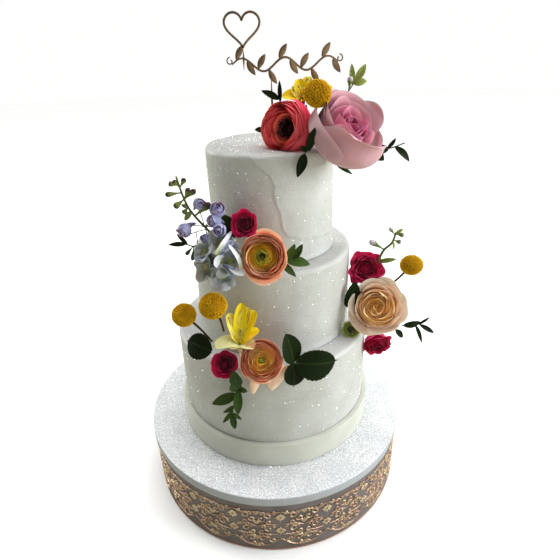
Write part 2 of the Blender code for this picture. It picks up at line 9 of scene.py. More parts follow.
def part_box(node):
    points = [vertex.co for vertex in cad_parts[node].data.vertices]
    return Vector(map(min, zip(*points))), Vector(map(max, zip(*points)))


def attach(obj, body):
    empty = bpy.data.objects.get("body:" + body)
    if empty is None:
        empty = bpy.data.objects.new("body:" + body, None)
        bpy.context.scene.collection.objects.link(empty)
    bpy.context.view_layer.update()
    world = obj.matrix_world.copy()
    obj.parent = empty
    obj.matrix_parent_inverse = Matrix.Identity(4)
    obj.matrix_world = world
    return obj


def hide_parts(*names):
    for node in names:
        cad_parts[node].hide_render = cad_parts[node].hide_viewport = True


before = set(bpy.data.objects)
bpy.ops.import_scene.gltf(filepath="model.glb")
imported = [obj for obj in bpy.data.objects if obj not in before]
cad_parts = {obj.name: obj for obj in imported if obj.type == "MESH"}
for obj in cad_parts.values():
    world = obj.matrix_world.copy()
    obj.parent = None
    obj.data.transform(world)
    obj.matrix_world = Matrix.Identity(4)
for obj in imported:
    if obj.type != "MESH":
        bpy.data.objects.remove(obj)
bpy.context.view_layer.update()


# ======== The studio ========
# A pale floor, a broad light like a tall window on the right, a soft one overhead and a weak one
# behind on the left. The camera stands close and looks down a little on the cake.
CAMERA_AT = Vector((0.0, -0.5704, 0.5956))
CAMERA_TURN, CAMERA_DOWN, CAMERA_LEAN = math.radians(1.36), math.radians(26.87), math.radians(-1.79)
CAMERA_WIDTH = math.radians(62.53)

camera = bpy.data.objects.new("camera", bpy.data.cameras.new("camera"))
bpy.context.collection.objects.link(camera)
camera.data.angle = CAMERA_WIDTH
camera.data.clip_start = 0.01
camera.matrix_world = (Matrix.Translation(CAMERA_AT) @ Matrix.Rotation(-CAMERA_TURN, 4, "Z")
                       @ Matrix.Rotation(math.pi / 2 - CAMERA_DOWN, 4, "X")
                       @ Matrix.Rotation(CAMERA_LEAN, 4, "Z"))
bpy.context.scene.camera = camera
bpy.context.scene.view_settings.view_transform = "Standard"


def add(tree, kind, inputs=None, **settings):
    """Put a node in a tree, set it, and feed its inputs from values or from other nodes."""
    node = tree.nodes.new(kind)
    for setting, value in settings.items():
        setattr(node, setting, value)
    for socket, value in (inputs or {}).items():
        if isinstance(value, bpy.types.NodeSocket):
            tree.links.new(value, node.inputs[socket])
        else:
            node.inputs[socket].default_value = value
    return node


def soft_light(name, kind, at, spread, power, colour):
    """A lamp that faces the middle of the cake: a square panel, or a wide even sky."""
    light = bpy.data.lights.new(name, kind)
    if kind == "AREA":
        light.size = spread
    else:
        light.angle = math.radians(spread)
    light.energy = power
    light.color = colour
    lamp = bpy.data.objects.new(name, light)
    lamp.location = at
    lamp.rotation_euler = (Vector((0.0, 0.0, 0.30)) - Vector(at)).to_track_quat("-Z", "Y").to_euler()
    bpy.context.collection.objects.link(lamp)


soft_light("window_light", "AREA", (2.6, -0.50, 1.1), 1.8, 90.0, (0.94, 0.98, 1.0))
soft_light("ceiling_light", "SUN", (0.25, 0.35, 2.2), 60.0, 3.0, (0.99, 0.995, 1.0))
soft_light("back_light", "AREA", (-1.5, 1.0, 0.9), 0.9, 20.0, (1.0, 1.0, 0.97))
soft_light("front_light", "AREA", (0.7, -2.3, 0.6), 1.5, 10.0, (1.0, 0.985, 0.965))


def finish(name, **sockets):
    """A new material, its node tree and its Principled shader, with constant sockets set."""
    made = bpy.data.materials.new(name)
    made.use_nodes = True
    shader = made.node_tree.nodes["Principled BSDF"]
    for socket, value in sockets.items():
        shader.inputs[socket.replace("_", " ").title().replace("Ior", "IOR")].default_value = value
    return made, made.node_tree, shader


def ramp(tree, factor, *stops):
    """A colour ramp's colour output, from (position, colour) stops."""
    node = add(tree, "ShaderNodeValToRGB", {"Fac": factor})
    while len(node.color_ramp.elements) < len(stops):
        node.color_ramp.elements.new(0.5)
    for element, (position, colour) in zip(node.color_ramp.elements, stops):
        element.position = position
        element.color = (*colour, 1.0)
    return node.outputs["Color"]


def blend(tree, factor, first, second, mode="MIX"):
    """The colour between two, by a factor."""
    node = add(tree, "ShaderNodeMix", {"Factor": factor}, data_type="RGBA", blend_type=mode)
    for socket, value in ((node.inputs[6], first), (node.inputs[7], second)):
        if isinstance(value, bpy.types.NodeSocket):
            tree.links.new(value, socket)
        else:
            socket.default_value = (*value, 1.0)
    return node.outputs[2]


def sums(tree, operation, *values):
    """The result of one Math node."""
    return add(tree, "ShaderNodeMath", dict(enumerate(values)), operation=operation).outputs[0]


def grain(tree, scale, detail=4.0, coordinates=None):
    """The factor of a noise on the object's own coordinates."""
    where = coordinates or add(tree, "ShaderNodeTexCoord").outputs["Object"]
    return add(tree, "ShaderNodeTexNoise", {"Vector": where, "Scale": scale, "Detail": detail}).outputs[0]


def relief(tree, shader, height, depth):
    """Raise or sink a surface by a height, in metres, without moving its points."""
    bump = add(tree, "ShaderNodeBump", {"Height": height, "Distance": depth, "Strength": 1.0})
    tree.links.new(bump.outputs["Normal"], shader.inputs["Normal"])


AIR_LIGHT, AIR_SEEN = 0.16, 1.0
world = bpy.data.worlds.new("studio_air")
bpy.context.scene.world = world
world.use_nodes = True
seen = add(world.node_tree, "ShaderNodeLightPath").outputs["Is Camera Ray"]
level = add(world.node_tree, "ShaderNodeMapRange", {"Value": seen, "To Min": AIR_LIGHT, "To Max": AIR_SEEN})
background = world.node_tree.nodes["Background"]
tint = blend(world.node_tree, seen, (0.95, 0.96, 0.86), (1.0, 1.0, 0.995))
world.node_tree.links.new(tint, background.inputs["Color"])
world.node_tree.links.new(level.outputs[0], background.inputs["Strength"])

FLOOR_RADIUS = 7.0
floor_mesh = bmesh.new()
bmesh.ops.create_circle(floor_mesh, cap_ends=True, segments=96, radius=FLOOR_RADIUS)
floor = bpy.data.objects.new("floor", bpy.data.meshes.new("floor"))
floor_mesh.to_mesh(floor.data)
floor_mesh.free()
bpy.context.collection.objects.link(floor)
floor_finish, tree, shader = finish("floor_white", roughness=0.7)
shade = ramp(tree, grain(tree, 3.0), (0.3, (0.95, 0.95, 0.945)), (0.7, (0.98, 0.98, 0.975)))
# the floor looks bright, but throws little light back up at the cake
looked_at = add(tree, "ShaderNodeLightPath").outputs["Is Camera Ray"]
shade = blend(tree, looked_at, (0.455, 0.452, 0.345), shade)
tree.links.new(shade, shader.inputs["Base Color"])
floor.data.materials.append(floor_finish)


# ======== The drum of the stand ========
# A low round drum of thin sheet metal in a mauve-brown satin paint, with a rolled copper bead at its
# foot. The drum is turned in one piece; the bead runs round it just above the table.
def lathe(name, profile, segments=180, centre=0.0):
    """A turned mesh through (radius, height) points, from the top down its outer side."""
    turns = math.tau * np.arange(segments) / segments
    shape = bmesh.new()
    rings = []
    for radius, height in profile:
        if radius == 0.0:
            rings.append([shape.verts.new((centre, 0.0, height))])
        else:
            rings.append([shape.verts.new((centre + radius * math.cos(t), radius * math.sin(t), height))
                          for t in turns])
    for upper, lower in zip(rings, rings[1:]):
        for k in range(segments):
            j = (k + 1) % segments
            if len(upper) == 1:
                shape.faces.new((upper[0], lower[k], lower[j]))
            elif len(lower) == 1:
                shape.faces.new((upper[j], upper[k], lower[0]))
            else:
                shape.faces.new((upper[j], upper[k], lower[k], lower[j]))
    mesh = bpy.data.meshes.new(name)
    shape.to_mesh(mesh)
    shape.free()
    return mesh


def settle(name, mesh, material, slot, *nodes, sharp=40):
    """Put a finished mesh on the cake: it rides the one body and stands for its plain solids."""
    mesh.shade_smooth()
    mesh.set_sharp_from_angle(angle=math.radians(sharp))
    mesh.materials.clear()
    mesh.materials.append(material)
    piece = bpy.data.objects.new(name, mesh)
    bpy.context.collection.objects.link(piece)
    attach(piece, "root")
    if nodes:
        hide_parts(*nodes)
    return piece


def arc(centre, radius, start, end, count):
    """Points of an arc in a (radius, height) outline, its angles in degrees."""
    turns = np.radians(np.linspace(start, end, count))
    return [(centre[0] + radius * math.cos(t), centre[1] + radius * math.sin(t)) for t in turns]


drum_low, drum_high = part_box("stand_drum")
DRUM_TOP = drum_high.z
DRUM_RADIUS = 0.1855
BEAD_RADIUS = 0.0011
drum_profile = [(0.0, DRUM_TOP)] + arc((DRUM_RADIUS - 0.002, DRUM_TOP - 0.002), 0.002, 90, 0, 5)
drum_profile += arc((DRUM_RADIUS, 2 * BEAD_RADIUS), BEAD_RADIUS, 60, -90, 7)
drum_profile += [(DRUM_RADIUS - 0.001, 0.0), (0.0, 0.0)]
drum_finish, tree, shader = finish("mauve_paint", roughness=0.42, metallic=0.25)
patches = ramp(tree, grain(tree, 35.0), (0.30, (0.13, 0.105, 0.11)), (0.70, (0.21, 0.18, 0.185)))
height = add(tree, "ShaderNodeSeparateXYZ", {0: add(tree, "ShaderNodeTexCoord").outputs["Object"]}).outputs["Z"]
at_foot = add(tree, "ShaderNodeMapRange", {"Value": height, "From Min": 0.0034, "From Max": 0.0030}).outputs[0]
tree.links.new(blend(tree, at_foot, patches, (0.33, 0.15, 0.08)), shader.inputs["Base Color"])
tree.links.new(sums(tree, "MULTIPLY_ADD", grain(tree, 220.0), 0.3, 0.28), shader.inputs["Roughness"])
relief(tree, shader, grain(tree, 420.0), 0.00008)
settle("stand_drum_body", lathe("stand_drum_body", drum_profile), drum_finish, "drum", "stand_drum")


# ======== The pressed metal lace round the drum ========
# Thin openwork in champagne gold: eight-petalled rosettes in two rows, with scrolls and leaves between
# them and scalloped edges. One repeat is drawn flat, bent to the drum and set round it nineteen times.
class Grids:
    """Grids of points, one for each stroke, petal or leaf, gathered into one mesh."""

    def __init__(self):
        self.points, self.quads, self.places, self.tones = [], [], [], []
        self.count = 0

    def add(self, grid, tone=0.5, ring=False):
        """Take a (rows, columns, 3) grid. A ring joins its last column to its first."""
        rows, columns = grid.shape[:2]
        index = self.count + np.arange(rows * columns).reshape(rows, columns)
        if ring:
            index = np.hstack([index, index[:, :1]])
        across, along = np.meshgrid(np.linspace(0, 1, index.shape[1]), np.linspace(0, 1, rows))
        place = np.stack([across, along], -1)
        corners = [(slice(None, -1), slice(None, -1)), (slice(None, -1), slice(1, None)),
                   (slice(1, None), slice(1, None)), (slice(1, None), slice(None, -1))]
        self.quads.append(np.stack([index[corner] for corner in corners], -1).reshape(-1, 4))
        self.places.append(np.stack([place[corner] for corner in corners], 2).reshape(-1, 2))
        self.points.append(grid.reshape(-1, 3))
        self.tones.append(np.full(rows * columns, tone))
        self.count += rows * columns

    def mesh(self, name, closed=False):
        """One mesh of all the grids, with a UV map of places and a tone on each point."""
        mesh = bpy.data.meshes.new(name)
        mesh.from_pydata(np.concatenate(self.points).tolist(), [], np.concatenate(self.quads).tolist())
        mesh.uv_layers.new(name="place").data.foreach_set("uv", np.concatenate(self.places).ravel())
        mesh.attributes.new("tone", "FLOAT", "POINT").data.foreach_set("value", np.concatenate(self.tones))
        shape = bmesh.new()
        shape.from_mesh(mesh)
        bmesh.ops.remove_doubles(shape, verts=shape.verts, dist=0.000002)
        bmesh.ops.dissolve_degenerate(shape, edges=shape.edges, dist=0.000001)
        if closed:
            bmesh.ops.recalc_face_normals(shape, faces=shape.faces)
        shape.to_mesh(mesh)
        shape.free()
        return mesh


def stroke(path, widths, thick, sides=6, dome=0.5):
    """A flat-backed strip along a plane path: a (points, sides, 3) grid of (across, up, out)."""
    path = np.asarray(path, float)
    along = np.gradient(path, axis=0)
    along /= np.linalg.norm(along, axis=1, keepdims=True) + 1e-12
    side = np.stack([-along[:, 1], along[:, 0]], -1)
    section = np.array([(-1, 0), (-1, dome), (-0.5, 1), (0.5, 1), (1, dome), (1, 0)])[:sides]
    grid = np.empty((len(path), len(section), 3))
    grid[..., :2] = path[:, None] + side[:, None] * (0.5 * np.asarray(widths)[:, None] * section[:, 0])[..., None]
    grid[..., 2] = thick * section[:, 1]
    for end in (0, -1):
        grid[end, :, :2] = path[end]
    return grid


LACE_REPEATS = 19
LACE_PITCH = math.tau * DRUM_RADIUS / LACE_REPEATS
LACE_THICK = 0.0013
LACE_STROKE = 0.0020
ROSETTE_ROWS = (0.0650, 0.0400)


def scroll(centre, inner, outer, start, sweep, count=16):
    """A spiral that opens from its inner to its outer radius, its angles in degrees."""
    turns = np.radians(start + np.linspace(0, sweep, count))
    radii = inner + (outer - inner) * np.linspace(0, 1, count) ** 0.8
    return np.stack([centre[0] + radii * np.cos(turns), centre[1] + radii * np.sin(turns)], -1)


def lace_strokes():
    """Every stroke of half a repeat, from its rosette to the palmette beside it: (path, width, tone)."""
    half = LACE_PITCH / 2
    made = []
    for row in ROSETTE_ROWS:
        for k in range(-2, 3):
            lean = math.radians(45 * k)
            reach = 0.0068 if k % 2 == 0 else 0.0058
            run = np.linspace(0.0012, reach, 7)
            made.append((np.stack([run * math.cos(lean), row + run * math.sin(lean)], -1), 0.0034, 0.8))
        made.append((scroll((0.0155, row + 0.0035), 0.0009, 0.0060, 60, 430), LACE_STROKE, 0.4))
        made.append((scroll((0.0145, row - 0.0095), 0.0007, 0.0044, -100, -400), 0.0017, 0.3))
        made.append((scroll((half - 0.0060, row - 0.0030), 0.0007, 0.0050, 200, -380), 0.0018, 0.6))
        made.append((scroll((0.0225, row + 0.0070), 0.0006, 0.0036, 250, 340), 0.0017, 0.5))
        made.append((scroll((0.0075, row + 0.0100), 0.0006, 0.0030, 180, -330), 0.0016, 0.6))
    for low, high in ((0.0705, 0.0765), (0.0520, 0.0600), (0.0230, 0.0310), (0.0080, 0.0170)):
        rise = np.linspace(low, high, 7)
        for lean in (0.0, 0.55):
            made.append((np.stack([half - (rise - low) * lean, rise], -1), 0.0036, 0.7))
    made.append((scroll((half - 0.0075, 0.0240), 0.0008, 0.0062, 150, 420), LACE_STROKE, 0.4))
    made.append((scroll((0.0105, 0.0215), 0.0007, 0.0050, 20, 400), 0.0018, 0.5))
    made.append((scroll((half - 0.0050, 0.0125), 0.0006, 0.0038, 80, 330), 0.0016, 0.6))
    for start, end, sag in (((0.0, 0.0755), (half, 0.0765), -0.004), ((0.0, 0.0240), (half, 0.0085), -0.0035),
                            ((0.0068, 0.0520), (half, 0.0480), 0.0025), ((0.004, 0.033), (half - 0.003, 0.036), -0.002)):
        t = np.linspace(0, 1, 12)
        arch = np.stack([start[0] + (end[0] - start[0]) * t,
                         start[1] + (end[1] - start[1]) * t + sag * np.sin(math.pi * t) ** 2], -1)
        made.append((arch, 0.0015, 0.3))
    return made


lace_repeat = Grids()
for path, width, tone in lace_strokes():
    taper = width * (0.35 + 0.65 * np.sin(math.pi * np.linspace(0.04, 0.96, len(path))) ** 0.7)
    strip = stroke(path, taper, LACE_THICK)
    for mirrored in (1, -1):
        turn = mirrored * strip[..., 0] / DRUM_RADIUS - math.pi / 2
        reach = DRUM_RADIUS + 0.0004 + strip[..., 2]
        bent = np.stack([reach * np.cos(turn), reach * np.sin(turn), strip[..., 1]], -1)
        lace_repeat.add(bent if mirrored == 1 else bent[:, ::-1], tone, ring=True)


def tree_with(name, **sizes):
    """An empty Geometry Nodes tree with named inputs, each given by its socket kind."""
    made = bpy.data.node_groups.new(name, "GeometryNodeTree")
    made.interface.new_socket("Geometry", in_out="INPUT", socket_type="NodeSocketGeometry")
    for label, kind in sizes.items():
        made.interface.new_socket(label.replace("_", " "), in_out="INPUT", socket_type="NodeSocket" + kind)
    made.interface.new_socket("Geometry", in_out="OUTPUT", socket_type="NodeSocketGeometry")
    return made, made.nodes.new("NodeGroupInput").outputs


def close_tree(made, instances, material):
    """End a tree: real geometry in place of instances, then its material."""
    real = add(made, "GeometryNodeRealizeInstances", {0: instances})
    coated = add(made, "GeometryNodeSetMaterial", {"Geometry": real.outputs[0]})
    coated.inputs["Material"].default_value = material
    add(made, "NodeGroupOutput", {0: coated.outputs[0]})


def run_tree(mesh, made, **values):
    """The plain mesh that a tree makes of a mesh, with its named inputs set first."""
    holder = bpy.data.objects.new("holder", mesh)
    bpy.context.collection.objects.link(holder)
    modifier = holder.modifiers.new("grow", "NODES")
    modifier.node_group = made
    for item in made.interface.items_tree:
        if item.in_out == "INPUT" and item.name.replace(" ", "_") in values:
            modifier[item.identifier] = values[item.name.replace(" ", "_")]
    graph = bpy.context.evaluated_depsgraph_get()
    grown = bpy.data.meshes.new_from_object(holder.evaluated_get(graph), depsgraph=graph)
    bpy.data.objects.remove(holder)
    return grown


lace_finish, tree, shader = finish("champagne_metal", roughness=0.34, metallic=0.7)
tone = add(tree, "ShaderNodeAttribute", attribute_name="tone").outputs["Fac"]
warmth = sums(tree, "MULTIPLY_ADD", grain(tree, 90.0, 2.0), 1.3, sums(tree, "MULTIPLY_ADD", tone, 0.5, -0.45))
gold = ramp(tree, warmth, (0.15, (0.50, 0.30, 0.22)), (0.5, (0.64, 0.46, 0.32)), (0.85, (0.78, 0.64, 0.42)))
tree.links.new(gold, shader.inputs["Base Color"])
tree.links.new(sums(tree, "MULTIPLY_ADD", grain(tree, 900.0), 0.5, 0.08), shader.inputs["Roughness"])
relief(tree, shader, grain(tree, 1400.0), 0.00025)

ring, sizes = tree_with("lace_round_the_drum", Repeats="Int", Motif="Object")
circle = add(ring, "GeometryNodeMeshCircle", {"Vertices": sizes["Repeats"]})
step = add(ring, "ShaderNodeMath", {0: math.tau, 1: sizes["Repeats"]}, operation="DIVIDE")
turn = add(ring, "ShaderNodeMath", {0: add(ring, "GeometryNodeInputIndex").outputs[0], 1: step.outputs[0]},
           operation="MULTIPLY")
axis = add(ring, "ShaderNodeCombineXYZ").outputs[0]
centred = add(ring, "GeometryNodeSetPosition", {"Geometry": circle.outputs[0], "Position": axis})
about = add(ring, "ShaderNodeCombineXYZ", {"Z": turn.outputs[0]})
motif = add(ring, "GeometryNodeObjectInfo", {"Object": sizes["Motif"]})
copies = add(ring, "GeometryNodeInstanceOnPoints", {"Points": centred.outputs[0], "Instance": motif.outputs["Geometry"],
                                                    "Rotation": about.outputs[0]})
close_tree(ring, copies.outputs[0], lace_finish)
motif_mesh = lace_repeat.mesh("lace_motif", closed=True)
motif_piece = bpy.data.objects.new("lace_motif", motif_mesh)
bpy.context.collection.objects.link(motif_piece)
lace = run_tree(bpy.data.meshes.new("lace_start"), ring, Repeats=LACE_REPEATS, Motif=motif_piece)
bpy.data.objects.remove(motif_piece)
settle("stand_lace", lace, lace_finish, "lace", "stand_lace_band")


# ======== The board ========
# A round cake board of dense card, 14 mm thick, wrapped in white foil paper with a fine sparkling
# grain. The paper turns over the edge in small pleats, and the board rests flat on the stand.
board_low, board_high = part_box("cake_board")
BOARD_RADIUS = board_high.x
BOARD_TOP = board_high.z
BOARD_ROUND = 0.0012
board_profile = [(0.0, BOARD_TOP), (0.5 * BOARD_RADIUS, BOARD_TOP)]
board_profile += arc((BOARD_RADIUS - BOARD_ROUND, BOARD_TOP - BOARD_ROUND), BOARD_ROUND, 90, 0, 5)
board_profile += arc((BOARD_RADIUS - BOARD_ROUND, board_low.z + BOARD_ROUND), BOARD_ROUND, 0, -90, 5)
board_profile += [(0.0, board_low.z)]
board_finish, tree, shader = finish("sparkling_foil_paper", roughness=0.45)
flecks = grain(tree, 520.0, 3.0)
paper = ramp(tree, flecks, (0.30, (0.44, 0.455, 0.47)), (0.50, (0.66, 0.675, 0.685)), (0.68, (0.90, 0.91, 0.92)))
cloudy = ramp(tree, grain(tree, 45.0, 4.0), (0.35, (0.88, 0.885, 0.90)), (0.65, (1.0, 1.0, 1.0)))
paper = blend(tree, 1.0, paper, cloudy, "MULTIPLY")
# the paper on the board's edge is plainer than on its top, and painted greyer: a painted shade on the upright edge
painted_edge_shade_factor = add(tree, "ShaderNodeSeparateXYZ", {0: add(tree, "ShaderNodeNewGeometry").outputs["True Normal"]}).outputs["Z"]
tree.links.new(blend(tree, painted_edge_shade_factor, (0.41, 0.43, 0.475), paper), shader.inputs["Base Color"])
tree.links.new(sums(tree, "MULTIPLY_ADD", flecks, -0.7, 0.78), shader.inputs["Roughness"])
where = add(tree, "ShaderNodeTexCoord").outputs["Object"]
facets = add(tree, "ShaderNodeTexVoronoi", {"Vector": where, "Scale": 700.0}).outputs["Distance"]
relief(tree, shader, facets, 0.0003)
board = lathe("board_paper", board_profile, 240)
for point in board.vertices:
    reach = math.hypot(point.co.x, point.co.y)
    if reach > BOARD_RADIUS - 2 * BOARD_ROUND:
        turn = math.atan2(point.co.y, point.co.x)
        pleat = 0.00012 * math.sin(60 * turn) + 0.0002 * math.sin(7 * turn + 1.0)
        point.co.xy *= 1 + (pleat - 0.0003) / reach
settle("board_paper", board, board_finish, "board", "cake_board")


# ======== The three iced tiers ========
# Round sponge tiers of 155, 206 and 265 mm, coated by hand in smooth white buttercream. The scraper
# leaves shallow rounds and drags in it, the top edges are soft, and a thin skim laid over the front of
# the top tier ends in a lumpy lip. Each tier sits on the one below in a small bead of icing.
ICING_ROUND = 0.0055
ROW_STEP = 0.0018


def icing_profile(radius, top, floor):
    """Rows of an iced tier, close enough together to take the marks of the scraper."""
    inner = [(0.0, top)] + [(radius * share, top) for share in np.linspace(0.08, 0.90, 12)]
    corner = arc((radius - ICING_ROUND, top - ICING_ROUND), ICING_ROUND, 84, 0, 8)
    side = np.linspace(top - ICING_ROUND, floor, int((top - floor) / ROW_STEP))[1:]
    return inner + corner + [(radius, height) for height in side] + [(0.0, floor)]


def scraped(turn, height, seed, strength):
    """How far the icing stands out at a place on a tier's side, in metres."""
    broad = noise.noise(Vector((1.6 * math.cos(turn), 1.6 * math.sin(turn), 9 * height + seed)))
    drag = noise.noise(Vector((2.5 * math.cos(turn), 2.5 * math.sin(turn), 150 * height + seed)))
    lumps = noise.noise(Vector((9 * math.cos(turn), 9 * math.sin(turn), 70 * height + seed)))
    return strength * (0.00075 * broad + 0.00010 * drag + 0.00022 * lumps)


SKIM_EDGE = [(-112, 0.497), (-104, 0.487), (-97, 0.478), (-91, 0.4715), (-87.5, 0.4615), (-88.5, 0.4504),
             (-86.3, 0.4390), (-83.2, 0.4270), (-82.0, 0.4100), (-78.0, 0.4010), (-67, 0.3970),
             (-52, 0.3930), (-26, 0.3880), (0, 0.3850), (40, 0.3830)]


def skim(turn, height):
    """The extra skim of icing on the top tier, which ends in a raised lip."""
    degrees = math.degrees(turn)
    nearest, side = 1.0, 1.0
    for (turn_a, height_a), (turn_b, height_b) in zip(SKIM_EDGE, SKIM_EDGE[1:]):
        run = Vector((math.radians(turn_b - turn_a) * TOP_RADIUS, height_b - height_a))
        here = Vector((math.radians(degrees - turn_a) * TOP_RADIUS, height - height_a))
        share = max(0.0, min(1.0, here.dot(run) / run.length_squared))
        away = (here - run * share).length
        if away < nearest:
            nearest = away
            side = 1.0 if run.x * here.y - run.y * here.x > 0 else -1.0
    wobble = 1.0 + 0.6 * noise.noise(Vector((8 * turn, 120 * height, 3.0)))
    inside = 0.5 + 0.5 * math.tanh(side * nearest / 0.0007)
    fade = max(0.0, 1.0 - nearest / 0.03)
    return 0.00055 * inside * fade + 0.00065 * wobble * math.exp(-(nearest / 0.0010) ** 2)


def seated(above_floor, bead):
    """The bead of icing where a tier meets what it sits on."""
    return bead * math.exp(-(above_floor / 0.0045) ** 2)


icing_finish, tree, shader = finish("white_buttercream", roughness=0.5, subsurface_weight=0.08,
                                    subsurface_scale=0.004)
tone = grain(tree, 22.0, 3.0)
cream = ramp(tree, tone, (0.30, (0.475, 0.478, 0.452)), (0.55, (0.53, 0.536, 0.518)), (0.75, (0.575, 0.582, 0.57)))
pores = grain(tree, 700.0, 3.0)
specks = ramp(tree, pores, (0.30, (0.80, 0.80, 0.79)), (0.42, (1.0, 1.0, 1.0)))
tree.links.new(blend(tree, 1.0, cream, specks, "MULTIPLY"), shader.inputs["Base Color"])
tree.links.new(sums(tree, "MULTIPLY_ADD", grain(tree, 60.0), 0.35, 0.34), shader.inputs["Roughness"])
drags = add(tree, "ShaderNodeMapping", {"Vector": add(tree, "ShaderNodeTexCoord").outputs["Object"],
                                        "Scale": (1.0, 1.0, 6.0)}).outputs[0]
marks = sums(tree, "ADD", sums(tree, "MULTIPLY", grain(tree, 45.0, 4.0, drags), 0.9), sums(tree, "MULTIPLY", pores, 0.5))
relief(tree, shader, marks, 0.0006)


def ice_tier(node, radius, centre, columns, seed, bead, extra=None):
    """One iced tier in place of its plain solid."""
    low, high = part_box(node)
    mesh = lathe(node + "_icing", icing_profile(radius, high.z, low.z), columns, centre)
    for point in mesh.vertices:
        x, y, height = point.co.x - centre, point.co.y, point.co.z
        reach, turn = math.hypot(x, y), math.atan2(y, x)
        if reach < 0.001:
            continue
        share = min(1.0, reach / radius) ** 6
        out = share * (scraped(turn, height, seed, 1.0) + seated(height - low.z, bead))
        if extra:
            out += share * extra(turn, height)
        point.co.x = centre + (x * (1 + (out - 0.0002 * share) / reach))
        point.co.y = y * (1 + (out - 0.0002 * share) / reach)
        edge = math.exp(-((radius - reach) / 0.012) ** 2)
        if height > high.z - ICING_ROUND:
            swirl = noise.noise(Vector((30 * x, 30 * y, seed)))
            lumps = noise.noise(Vector((4 * math.cos(turn), 4 * math.sin(turn), seed)))
            point.co.z += 0.0005 * swirl * (1 - edge) + 0.0008 * lumps * edge - 0.0004
    settle(node + "_icing", mesh, icing_finish, "icing", node, sharp=80)


def tier_size(node):
    """Radius and centre of a tier, read from its plain solid."""
    low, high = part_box(node)
    return (high.x - low.x) / 2, (high.x + low.x) / 2


BOTTOM_RADIUS, BOTTOM_CENTRE = tier_size("bottom_tier")
MIDDLE_RADIUS, MIDDLE_CENTRE = tier_size("middle_tier")
TOP_RADIUS, TOP_CENTRE = tier_size("top_tier")
ice_tier("bottom_tier", BOTTOM_RADIUS, BOTTOM_CENTRE, 360, 11.0, 0.0)
ice_tier("middle_tier", MIDDLE_RADIUS, MIDDLE_CENTRE, 320, 23.0, 0.0016)
ice_tier("top_tier", TOP_RADIUS, TOP_CENTRE, 330, 37.0, 0.0014, skim)


# ======== The band round the foot of the bottom tier ========
# A plain pale band, 36 mm high, wrapped round the tier and lapped over itself at the back. It stands a
# little proud of the icing, its upper edge is crisp, and it rests on the board.
band_low, band_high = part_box("base_ribbon")
BAND_OUT = (band_high.x - band_low.x) / 2
BAND_ROUND = 0.0007
BAND_IN = BOTTOM_RADIUS + 0.0003
LAP_AT, LAP_STEP = math.radians(97), 0.0008
band_profile = [(BAND_IN, band_low.z), (BAND_IN, band_high.z)]
band_profile += arc((BAND_OUT - BAND_ROUND, band_high.z - BAND_ROUND), BAND_ROUND, 90, 0, 4)
band_profile += [(BAND_OUT, height) for height in np.linspace(band_high.z - 0.002, band_low.z + 0.001, 10)]
band_profile += [(BAND_OUT - 0.0004, band_low.z), (BAND_IN, band_low.z)]
band = lathe("band", band_profile, 300, BOTTOM_CENTRE)
for point in band.vertices:
    x, y = point.co.x - BOTTOM_CENTRE, point.co.y
    reach, turn = math.hypot(x, y), math.atan2(y, x)
    outer = max(0.0, (reach - BAND_IN) / (BAND_OUT - BAND_IN))
    wave = 0.0004 * noise.noise(Vector((3 * math.cos(turn), 3 * math.sin(turn), 20 * point.co.z)))
    beyond = turn - LAP_AT
    lap = -LAP_STEP * (0.5 + 0.5 * math.tanh(beyond / 0.006)) * math.exp(-max(0.0, beyond) / 0.5)
    point.co.x += x / reach * outer * (wave + lap)
    point.co.y += y / reach * outer * (wave + lap)
    point.co.z += 0.0005 * outer * noise.noise(Vector((4 * math.cos(turn), 4 * math.sin(turn), 5.0)))
joined = bmesh.new()
joined.from_mesh(band)
bmesh.ops.remove_doubles(joined, verts=joined.verts, dist=0.000001)
joined.to_mesh(band)
joined.free()
band_finish, tree, shader = finish("pale_band", roughness=0.4, sheen_weight=0.15)
tree.links.new(ramp(tree, grain(tree, 30.0), (0.3, (0.52, 0.53, 0.455)), (0.7, (0.59, 0.60, 0.53))),
               shader.inputs["Base Color"])
ribs = add(tree, "ShaderNodeMapping", {"Vector": add(tree, "ShaderNodeTexCoord").outputs["Object"],
                                       "Scale": (30.0, 30.0, 900.0)}).outputs[0]
tree.links.new(sums(tree, "MULTIPLY_ADD", grain(tree, 1.0, 2.0, ribs), 0.3, 0.28), shader.inputs["Roughness"])
relief(tree, shader, grain(tree, 1.0, 2.0, ribs), 0.00012)
settle("base_band", band, band_finish, "ribbon", "base_ribbon")


# ======== Edible glitter ========
# Small bright flakes, 0.3 to 1.2 mm across, dusted over the icing by hand. They lie at chance angles, thicker
# on the ledges and the board and in a loose line along the foot of the band.
glitter_finish, tree, shader = finish("glitter_flakes", roughness=0.2, metallic=0.9)
tint = grain(tree, 150.0, 0.0)
tree.links.new(ramp(tree, tint, (0.35, (0.80, 0.86, 0.92)), (0.5, (0.97, 0.97, 0.95)), (0.65, (0.98, 0.93, 0.84))),
               shader.inputs["Base Color"])


def rings_mesh(name, outlines):
    """Plain turned surfaces that glitter falls on: (radius, height) outlines about their own centres."""
    shape = bmesh.new()
    for outline, centre in outlines:
        sheet = lathe(name, outline, 64, centre)
        shape.from_mesh(sheet)
        bpy.data.meshes.remove(sheet)
    mesh = bpy.data.meshes.new(name)
    shape.to_mesh(mesh)
    shape.free()
    return mesh


